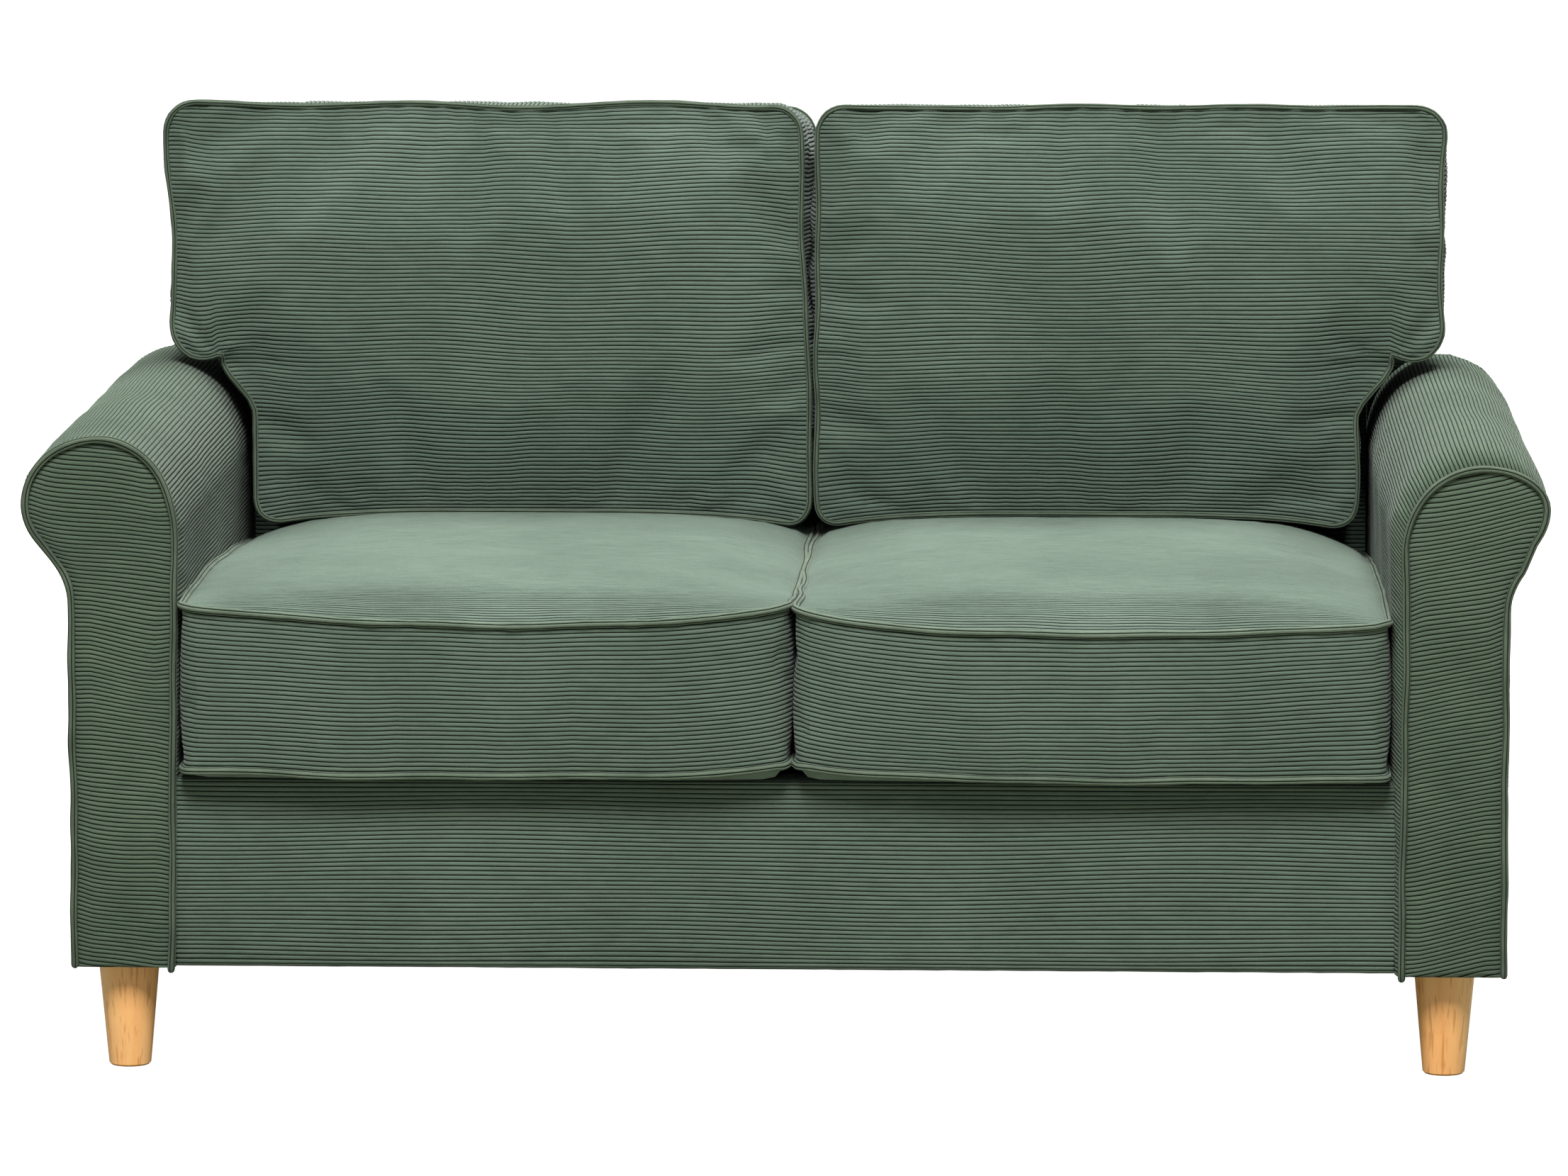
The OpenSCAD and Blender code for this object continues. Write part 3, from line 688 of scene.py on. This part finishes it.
def back_cushion(side):
    """T-shaped boxed cushion that leans on the back, its ear over the arm."""
    low, high = corners("back_cover_" + side)
    body = "back_cushion_" + side
    sign = SIGN[side]
    seed = 37 if side == "left" else 53
    inner = high[0] if sign < 0 else low[0]
    ear_out = max(abs(low[0]), abs(high[0]))
    side_out = ARM_IN - 0.022       # outer side below the ear
    ear_in = side_out + 0.036       # where the ear starts
    ear_z = ARM_TOP + 0.012         # underside of the ear
    slope = (high[1] - low[1] - BACK_THICK) / (high[2] - low[2])
    z = np.concatenate([spaced(low[2], ear_z, 0.026, 0.0)[:-1], spaced(ear_z, high[2], 0.030, 0.030)])
    rows = len(z)
    step = int(np.argmin(np.abs(z - ear_z)))
    ear_cols = 8
    main_cols = int(round((side_out + sign * inner) / CELL)) + 1
    # Outer edges, measured outwards from the middle of the sofa
    notch_out = side_out + (ear_in - side_out) * smooth(z, ear_z - 0.065, ear_z - 0.005) \
        - round_in(z - low[2], 0.026)
    edge_out = ear_out - round_in(high[2] - z, 0.030) - round_in(z - ear_z, 0.030) \
        - 0.004 * np.sin(np.pi * np.clip((z - ear_z) / (high[2] - ear_z), 0, 1)) \
        + (0.007 if sign < 0 else 0.0) * smooth(z, high[2] - 0.15, high[2] - 0.03)
    inner_edge = sign * inner + round_in(high[2] - z, 0.028) + round_in(z - low[2], 0.024)
    plan = np.zeros((rows, ear_cols + main_cols, 2))
    for i in range(rows):
        main = np.linspace(notch_out[i], inner_edge[i], main_cols)
        ear = np.linspace(edge_out[i], notch_out[i], ear_cols + 1)[:-1]
        plan[i, :, 0] = sign * np.concatenate([ear, main])
        plan[i, :, 1] = z[i]
    mask = np.ones(plan.shape[:2], bool)
    mask[:step, :ear_cols] = False
    wave = ripple(seed, 6, 0.09, 0.28)
    slow = ripple(seed + 5, 5, 0.16, 0.5)
    height = high[2] - low[2]

    def place(q, back):
        """Leans with the frame's back; back is 0 at the front panel and 1 at the rear one."""
        out = sign * q[:, 0]
        up = q[:, 1] - low[2]
        wide = np.where(q[:, 1] < ear_z, side_out, ear_out)
        edge = np.minimum.reduce([out - sign * inner, wide - out, up, high[2] - q[:, 1]])
        edge = np.maximum(edge, 0)
        near = 1 - smooth(edge, 0.0, 0.03)
        sway = 0.0016 * near * wave(q[:, 0] + back, q[:, 1]) * smooth(up, 0.0, 0.05)
        bulge = 0.012 * (1 - np.exp(-edge / 0.05)) * (1 - 2 * back)
        away = np.hypot(out - ear_in, q[:, 1] - ear_z)
        turn = np.arctan2(q[:, 1] - ear_z, out - ear_in)
        crease = np.exp(-((turn - 1.95) / 0.22) ** 2) * np.exp(-away / 0.035)
        pucker = 0.006 * crease + 0.0020 * np.exp(-away / 0.06) * np.cos(8 * turn)
        pucker = pucker * smooth(away, 0.0, 0.012)
        y = low[1] + slope * up + BACK_THICK * back - bulge + 0.0016 * near * wave(q[:, 1], q[:, 0])
        y = y + pucker * (1 - back)
        drop = 0.016 * back * smooth(up, height - 0.12, height)
        along_ear = np.clip((out - ear_in) / (ear_out - ear_in), 0, 1)
        sag = 0.006 * np.sin(np.pi * along_ear ** 0.8) * (1 - smooth(q[:, 1], ear_z, ear_z + 0.08))
        wales = 0.0030 * slow(q[:, 0], q[:, 1] * 1.6) * smooth(edge, 0.0, 0.06)
        across = np.clip((out - sign * inner) / (side_out - sign * inner), 0, 1)
        foot = (0.004 + 0.015 * np.abs(2 * across - 1) ** 4) * (1 - smooth(up, 0.0, 0.10))
        foot = foot * (1 - smooth(back, 0.0, 0.35))
        part = 0.009 * (sign < 0) * (1 - back) * smooth(up, 0.03, 0.36) * (1 - smooth(across, 0.0, 0.2))
        narrow = 0.006 * back * smooth(out, side_out + 0.04, ear_out)
        x = q[:, 0] + sway + sign * (part - narrow)
        return np.stack([x, y, q[:, 1] + sway - drop - sag - foot + wales], -1)

    cage = Cage(plan, mask, panel_loop(mask), place, 11)
    foot = np.where(cage.co[:, 2] < low[2] + 0.004)[0]
    cap = np.where(cage.co[:, 2] > high[2] - 0.030, 0.003, 0.018)
    inflate(cage, body + "_cloth", np.unique(np.concatenate([cage.seams, foot])), 2.4, 0.015, cap)
    front, rear, strip = cage.grid(0), cage.grid(1), cage.boxing()
    shell = Shell()
    turned = sign < 0
    for g, left, over in ((front, 0.02, turned), (rear, 0.52, not turned)):
        shell.ribbed(g[step:], (left, 0.62, left + 0.46, 0.98), over, seed=seed)
        shell.ribbed(g[:step + 1, ear_cols:], (left, 0.30, left + 0.46, 0.60), over, seed=seed + 2)
    around = np.transpose(strip[:, 3:-3], (1, 0, 2))
    shell.ribbed(around, (0.02, 0.02, 0.98, 0.28), turned, seed=seed + 3, along=0.016)
    cover = finish_piece(shell.build(body, CORD_CLOTH), body, "corduroy", "back_cover_" + side)
    cords = Shell()
    for k, ring in enumerate((cage.strip[0], cage.strip[-1])):
        piping(cords, cage.co[ring], (0, 2 * k - 1, 0), radius=0.0031, seed=seed + k,
               cell=(0, k / 2, 1, (k + 1) / 2))
    finish_piece(cords.build(body + "_piping", CORD_PIPE), body, "piping", "back_piping_" + side)
    core_of(cage, body + "_core", body, "back_core_" + side, 0.014)


def zip_strip(node, body):
    """Tape of a zip with its coil of teeth, behind a seat cushion or under a back one."""
    low, high = corners(node)
    middle = (low + high) / 2
    flat = 1 if body.startswith("back") else 2
    half = (high[flat] - low[flat]) / 2
    tape, crest, valley, tooth = 0.0010, 0.0018, 0.0013, 0.0015
    across = np.array([-half, 0.0003 - half, -0.0034, -0.0025, -0.0012, 0,
                       0.0012, 0.0025, 0.0034, half - 0.0003, half])
    height = np.array([0, tape, tape, crest, crest, valley, crest, crest, tape, tape, 0])[:, None]
    x = np.arange(low[0], high[0], tooth / 2)
    coil = height > tape
    high_tooth = np.arange(len(x))[None, :] % 2
    height = np.where(coil, height - 0.0004 * (1 - high_tooth), height + 0 * high_tooth)
    g = np.zeros((len(across), len(x), 3))
    g[..., 0] = x
    g[..., flat] = middle[flat] + across[:, None]
    g[..., 3 - flat] = low[1] + height if flat == 2 else high[2] - height
    shell = Shell().grid(g, (0.02, 0.02, 0.98, 0.98))
    finish_piece(shell.build(node + "_tape", ZIP_TAPE), body, "zip_tape", node)


# ---------------------------------------------------------------- arms
# Sections of the right arm, and of the left arm mirrored, at the front edge, where the roll is full
# and at the rear. How far the top is below ARM_TOP, the outermost and innermost points of the scroll
# from ARM_OUT and ARM_IN, the scroll's centre from ARM_OUT, its heights outside and inside, and the
# body's outer and inner faces from BODY_OUT and ARM_IN.
ARM_SECTIONS = {
    "left": ((0.003, -0.005, -0.004, -0.077, 0.065, 0.092, -0.003, 0.002),
             (0.000, -0.002, -0.007, -0.077, 0.066, 0.094, -0.001, 0.000),
             (0.001, -0.004, -0.007, -0.077, 0.066, 0.094, -0.001, 0.000)),
    "right": ((0.025, -0.005, 0.006, -0.066, 0.040, 0.082, 0.004, 0.005),
              (0.003, -0.004, -0.007, -0.076, 0.062, 0.094, 0.007, 0.000),
              (0.006, -0.008, -0.007, -0.079, 0.064, 0.092, 0.003, 0.000)),
}
# Where each arm's cloth ends in front, how far its sleeve takes to turn in there, the tilt of its
# panel's wales in degrees, and its seed
ARM_ENDS = {"left": (ARM_FRONT - 0.001, 0.008, 6.5, 71), "right": (ARM_FRONT - 0.009, 0.026, 11.5, 83)}


def arm_profile(shape, inset=0.0):
    """Outline of an arm from its inner foot over the scroll to its outer foot, in X and Z."""
    drop, out, inwards, centre, high_out, high_in, body, foot = shape
    t = inset
    top = ARM_TOP - drop
    cx = ARM_OUT + centre
    x_out = ARM_OUT + out
    x_in = ARM_IN + inwards
    x_body = BODY_OUT + body
    parts = [
        [(ARM_IN + foot + t, HEM), (x_in + t + 0.0015, NECK_Z + 0.025)],
        arc(cx, top - high_in, cx - x_in - t, high_in - t, 176, 90, 22),
        arc(cx, top - high_out, x_out - cx - t, high_out - t, 86, 0, 20),
        arc(x_out - 0.050, top - high_out, 0.050 - t, 0.050 - t, -5, -40, 8),
        arc(x_body + 0.056, NECK_Z, 0.056 + t, 0.056 + t, 140, 180, 10),
        [(x_body - t, HEM)],
    ]
    return np.vstack([np.asarray(p, float) for p in parts])


def crossings(outline, levels):
    """First and last place where a closed outline crosses each level of its second coordinate."""
    p = outline
    q = np.roll(outline, -1, 0)
    ends = []
    for level in levels:
        hit = (p[:, 1] - level) * (q[:, 1] - level) <= 0
        hit &= np.abs(q[:, 1] - p[:, 1]) > 1e-9
        a = p[hit, 0] + (level - p[hit, 1]) / (q[hit, 1] - p[hit, 1]) * (q[hit, 0] - p[hit, 0])
        ends.append((a.min(), a.max()))
    return np.array(ends)


def arm_sleeve(side):
    """Corduroy sleeve over the padded roll, and the foam under it."""
    sign = SIGN[side]
    front, turn_in, _, seed = ARM_ENDS[side]
    at_front, full, at_rear = (np.array(row) for row in ARM_SECTIONS[side])
    rear = ARM_REAR - 0.003
    close = front + turn_in * (1 - np.cos(np.linspace(0, np.pi / 2, 7)))
    y = np.concatenate([close, np.linspace(close[-1], rear, 48)[1:]])
    wave = ripple(seed, 7, 0.14, 0.5)
    gather = ripple(seed + 1, 5, 0.014, 0.030)
    count = len(resample(arm_profile(full), 0.012))
    g = np.zeros((count, len(y), 3))
    for j, place in enumerate(y):
        q = np.clip((front + turn_in - place) / turn_in, 0, 1)
        shape = full + (at_rear - full) * smooth(place, front + turn_in, rear)
        shape = shape + (at_front - full) * (1 - math.sqrt(1 - q * q))
        line = arm_profile(shape)
        s = line_lengths(line)
        even = np.linspace(0, s[-1], count)
        line = np.stack([np.interp(even, s, line[:, 0]), np.interp(even, s, line[:, 1])], 1)
        normal = unit(np.stack([-np.gradient(line[:, 1]), np.gradient(line[:, 0])], 1))
        end = min(place - front, rear - place)
        off = 0.0010 * (wave(even, place) + 0.8) * smooth(end, 0, 0.05)
        off = off + 0.0010 * gather(even) * math.exp(-(place - front) / 0.020) * smooth(end, 0.0, 0.006)
        off = off - 0.002 * math.exp(-(rear - place) / 0.007)
        g[:, j, 0] = sign * (line[:, 0] + normal[:, 0] * off)
        g[:, j, 1] = place
        g[:, j, 2] = np.maximum(line[:, 1] + normal[:, 1] * off, HEM)
    turned = sign > 0
    shell = Shell()
    shell.ribbed(g, (0.02, 0.12, 0.98, 0.98), not turned, seed=seed)
    sole = g[0] + (g[-1] - g[0]) * np.linspace(0, 1, 8)[:, None, None]
    shell.grid(sole + (0, 0, 0.0005), (0.02, 0.02, 0.98, 0.10), flip=turned)
    finish_piece(shell.build(f"arm_{side}_sleeve", CORD_SLEEVE), "frame", "corduroy", "arm_cover_" + side)
    pad = Shell()
    n = grid_normals(g) * (1 if turned else -1)
    inside = g - n * 0.0055
    inside = inside[:, (y > front + 0.020) & (y < rear - 0.004)]
    pad.grid(inside, flip=not turned)
    finish_piece(pad.build(f"arm_{side}_foam", FOAM), "frame", "foam", "arm_padding_" + side)


def arm_panel(side):
    """Front panel of an arm: each wale crosses its outline at a tilt, falling towards the seat."""
    sign = SIGN[side]
    front, _, tilt, seed = ARM_ENDS[side]
    tilt = math.radians(tilt)
    turn = np.array([[math.cos(tilt), math.sin(tilt)], [-math.sin(tilt), math.cos(tilt)]])
    r = resample(arm_profile(ARM_SECTIONS[side][0], 0.0015), 0.004) @ turn.T
    b_low, b_high = r[:, 1].min() + 0.0002, r[:, 1].max() - 0.0002
    place, height = wale_rows(int(round((b_high - b_low) / PITCH)))
    b = b_low + (b_high - b_low) * place
    ends = crossings(r, b)
    t = 0.5 - 0.5 * np.cos(np.linspace(0, np.pi, 19))
    a = ends[:, :1] + (ends[:, 1:] - ends[:, :1]) * t
    to_edge = np.minimum(np.minimum(a - ends[:, :1], ends[:, 1:] - a), (b_high - b)[:, None])
    to_edge = np.maximum(to_edge, 0)
    sag = ripple(seed + 2, 5, 0.08, 0.25)
    puff = 0.0045 * (1 - np.exp(-to_edge / 0.010)) - 0.0015
    puff = puff + 0.0008 * sag(a, b[:, None]) * smooth(to_edge, 0, 0.02)
    bend = 0.0024 * sag(a * 1.3, b[:, None] * 0.8) * smooth(to_edge, 0, 0.02)
    back = a[..., None] * turn[0] + (b[:, None] + bend)[..., None] * turn[1]
    yy = front - puff - GROOVE * height[:, None]
    panel = np.stack([sign * back[..., 0], yy, np.maximum(back[..., 1], HEM - 0.002)], -1)
    # The panel's grooves take the dark material of painted shade
    face = Shell().grid(panel, (0.02, 0.02, 0.98, 0.98), sign < 0, wales=True)
    finish_piece(face.build(f"arm_{side}_panel", CORD_SLEEVE), "frame", "corduroy", "arm_panel_" + side)


def arm_piping(side):
    """Cord round an arm's front panel. It hangs a little below the hem at its inner end, and ends
    level with it at the outer one."""
    sign = SIGN[side]
    front, _, _, seed = ARM_ENDS[side]
    line = resample(arm_profile(ARM_SECTIONS[side][0], 0.0005), 0.005)
    line[0, 1] = HEM - 0.001
    line[-1, 1] = HEM + 0.003
    wave = ripple(seed + 4, 6, 0.05, 0.2)
    s = line_lengths(line)
    clear = 0.0012 * (1 - smooth(s, 0.3, 0.4))
    path = np.stack([sign * (line[:, 0] + clear + 0.0006 * wave(s)), np.full(len(line), front - 0.0015),
                     line[:, 1]], 1)
    cord = Shell()
    piping(cord, path, (0, -1, 0), closed=False, radius=0.0038, seed=seed + 5)
    finish_piece(cord.build(f"arm_{side}_piping", CORD_PIPE), "frame", "piping", "arm_piping_" + side)


# ---------------------------------------------------------------- rail, back and deck
def swept(profile, x0, x1, spacing=0.03):
    """Grid of a Y-Z line carried along X."""
    profile = resample(profile, 0.008)
    n = int(round((x1 - x0) / spacing)) + 1
    x = np.linspace(x0, x1, n)
    g = np.zeros((len(profile), n, 3))
    g[..., 0] = x
    g[..., 1] = profile[:, :1]
    g[..., 2] = profile[:, 1:]
    return g


def rail_cover():
    """Corduroy over the front rail, drawn tight with a slight sway."""
    low, high = corners("rail_cover")
    r = 0.007
    profile = np.vstack([
        [(high[1], low[2])], arc(low[1] + r, low[2] + r, r, r, 270, 180, 6),
        arc(low[1] + r, high[2] - r, r, r, 180, 90, 6), [(high[1], high[2])]])
    g = swept(profile, -ARM_IN, ARM_IN)
    wave = ripple(97, 7, 0.15, 0.6)
    face = smooth(g[..., 2], low[2], low[2] + 0.02)
    g[..., 1] -= 0.0007 * (wave(g[..., 0], g[..., 2]) + 2) * face
    held = np.minimum(face, smooth(high[2] - g[..., 2], 0, 0.03))
    g[..., 2] += 0.0022 * wave(g[..., 0] * 0.8, g[..., 2]) * held
    shell = Shell().ribbed(g, (0.02, 0.02, 0.98, 0.98), True, seed=97)
    finish_piece(shell.build("front_rail_cover", CORD_CLOTH), "frame", "corduroy", "rail_cover")


def inside_back():
    """Cover of the back's front face, top and rounded upper corners."""
    low, high = corners("inside_back_cover")
    lean = math.tan(math.radians(BACK_LEAN))
    r = 0.012
    y_top = low[1] + lean * (high[2] - low[2])
    profile = np.vstack([
        [(low[1], low[2])], arc(y_top + r - 0.001, high[2] - r, r, r, 174, 90, 8),
        arc(high[1] - r, high[2] - r, r, r, 90, 0, 6), [(high[1], low[2])]])
    g = swept(profile, low[0], high[0], 0.02)
    corner = 0.045
    z = g[..., 2]
    shrink = round_in(high[2] - z, corner)
    half = (high[0] - low[0]) / 2
    g[..., 0] *= (half - shrink) / half
    shell = Shell().ribbed(g, (0.02, 0.02, 0.98, 0.8), True, seed=101, along=0.018)
    for sign in (-1, 1):
        edge = g[:, 0] if sign < 0 else g[:, -1]
        half_way = len(edge) // 2
        rear = edge[::-1]
        n = min(half_way, len(edge) - half_way)
        a, b = edge[:n], rear[:n]
        ends = np.stack([a, a + (b - a) / 3, a + (b - a) * 2 / 3, b], 1)
        shell.ribbed(ends, (0.02, 0.82, 0.98, 0.98), sign < 0, seed=103)
    finish_piece(shell.build("inside_back", CORD_CLOTH), "frame", "corduroy", "inside_back_cover")


def outside_back():
    """Rear sheet: a centre panel as wide as the back, and a panel on each arm's rear end."""
    low, high = corners("outside_back_cover")
    half = corners("inside_back_cover")[1][0]
    y = high[1]
    shell = Shell()
    z = np.linspace(low[2], high[2], 60)
    x = np.linspace(-1, 1, 50)
    wide = half + 0.0045 * (z < NECK_Z) - round_in(high[2] - z, 0.045)
    g = np.zeros((len(z), len(x), 3))
    g[..., 0] = x[None, :] * wide[:, None]
    g[..., 2] = z[:, None]
    wave = ripple(107, 6, 0.2, 0.7)
    edge = np.minimum(wide[:, None] - np.abs(g[..., 0]), high[2] - g[..., 2])
    g[..., 1] = y + 0.002 * (1 - np.exp(-np.maximum(edge, 0) / 0.02)) - 0.002 \
        + 0.0008 * wave(g[..., 0], g[..., 2])
    shell.ribbed(g, (0.02, 0.3, 0.98, 0.98), seed=107)
    for side, sign in SIGN.items():
        outline = resample(arm_profile(ARM_SECTIONS[side][2], 0.001), 0.004)
        levels = np.linspace(HEM, outline[:, 1].max() - 0.001, 46)
        ends = crossings(outline, levels)
        a = ends[:, :1] + (ends[:, 1:] - ends[:, :1]) * np.linspace(0, 1, 14)
        edge = np.minimum(np.minimum(a - ends[:, :1], ends[:, 1:] - a), levels[-1] - levels[:, None])
        g = np.zeros(a.shape + (3,))
        g[..., 0] = sign * a
        g[..., 1] = y - 0.003 + 0.003 * (1 - np.exp(-np.maximum(edge, 0) / 0.008))
        g[..., 2] = levels[:, None]
        place = 0.27 + 0.46 * (sign > 0)
        shell.ribbed(g, (place - 0.2, 0.02, place + 0.2, 0.28), sign < 0, seed=109)
        levels = np.linspace(ARM_TOP - 0.20, ARM_TOP - 0.008, 20)
        inner = crossings(outline, levels)[:, :1]
        a = (half - 0.004) + (inner + 0.010 - half + 0.004) * np.linspace(0, 1, 5)
        g = np.stack([sign * a, np.full(a.shape, y - 0.006), np.broadcast_to(levels[:, None], a.shape)], -1)
        shell.ribbed(g, (place - 0.2, 0.28, place + 0.2, 0.30), sign < 0, seed=113)
    finish_piece(shell.build("outside_back", CORD_CLOTH), "frame", "corduroy", "outside_back_cover")


def lining_sheet(node, sink, seed):
    """Lining stretched over the seat's springs or under the frame, pulled between its staples."""
    low, high = corners(node)
    x, y = np.meshgrid(np.linspace(low[0], high[0], 118), np.linspace(low[1], high[1], 72), indexing="ij")
    edge = np.minimum.reduce([x - low[0], high[0] - x, y - low[1], high[1] - y])
    loose = ripple(seed, 7, 0.10, 0.45)
    staples = 0.0007 * np.cos(2 * np.pi * x / 0.06) * np.cos(2 * np.pi * y / 0.06) * np.exp(-edge / 0.018)
    z = low[2] - sink * smooth(edge, 0.0, 0.10) * (0.7 + 0.3 * loose(x, y)) + staples
    under = np.stack([x, y, z], -1)
    over = under + (0, 0, 0.0012)
    shell = Shell()
    shell.grid(over, (0.02, 0.52, 0.98, 0.98))
    shell.grid(under, (0.02, 0.04, 0.98, 0.48), flip=True)
    for k, turned in ((0, False), (-1, True)):
        shell.grid(np.stack([under[k], over[k]]), (0.02, 0.0, 0.98, 0.02), flip=turned)
        shell.grid(np.stack([under[:, k], over[:, k]]), (0.02, 0.5, 0.98, 0.51), flip=not turned)
    finish_piece(shell.build(node + "_cloth", LINING), "frame", "lining", node)


for which in ("left", "right"):
    seat_cushion(which)
    back_cushion(which)
    zip_strip("seat_zip_" + which, "seat_cushion_" + which)
    zip_strip("back_zip_" + which, "back_cushion_" + which)
    arm_sleeve(which)
    arm_panel(which)
    arm_piping(which)
rail_cover()
inside_back()
outside_back()
lining_sheet("deck_cover", 0.0015, 127)
lining_sheet("dust_cover", 0.0040, 131)


# ---------------------------------------------------------------- floor, light, camera
def white_to_camera(nodes, links, strength, otherwise):
    """Strength 1 where the camera sees it, and the one given for all other light."""
    seen = nodes.new("ShaderNodeLightPath")
    mix = nodes.new("ShaderNodeMix")
    mix.inputs["A"].default_value = otherwise
    mix.inputs["B"].default_value = 1.0
    links.new(seen.outputs["Is Camera Ray"], mix.inputs["Factor"])
    links.new(mix.outputs["Result"], strength)


floor_mesh = bpy.data.meshes.new("floor")
reach = 40.0
floor_mesh.from_pydata([(-reach, -reach, 0), (reach, -reach, 0), (reach, reach, 0), (-reach, reach, 0)],
                       [], [(0, 1, 2, 3)])
floor_material, nodes, links, shader = new_material("floor", Base_Color=(0.24, 0.25, 0.19, 1), Roughness=0.95)
shader.inputs["Emission Color"].default_value = (1, 1, 1, 1)
white_to_camera(nodes, links, shader.inputs["Emission Strength"], 0.0)
floor_mesh.materials.append(floor_material)
add_object("floor", floor_mesh)

scene = bpy.context.scene
world = bpy.data.worlds.new("studio")
world.use_nodes = True
background = world.node_tree.nodes["Background"]
background.inputs["Color"].default_value = (1, 1, 1, 1)
white_to_camera(world.node_tree.nodes, world.node_tree.links, background.inputs["Strength"], 0.28)
scene.world = world


def softbox(name, place, target, size, power):
    light = bpy.data.lights.new(name, "AREA")
    light.shape = "RECTANGLE"
    light.size, light.size_y = size
    light.energy = power
    obj = add_object(name, light)
    obj.location = place
    obj.rotation_euler = (Vector(target) - Vector(place)).to_track_quat("-Z", "Y").to_euler()


softbox("key", (-0.2, -5.2, 6.8), (0, 0, 0.4), (3.4, 2.6), 890)
softbox("top", (0.5, 1.6, 7.0), (0, 0, 0.4), (3.4, 3.0), 740)

camera_data = bpy.data.cameras.new("camera")
camera_data.sensor_width = 36
camera_data.lens = 197.7
camera = add_object("camera", camera_data)
camera.location = (0.298, -8.63, 1.638)
camera.rotation_euler = (math.radians(90 - 8.0), 0, math.radians(2.07))
scene.camera = camera
scene.view_settings.view_transform = "Standard"
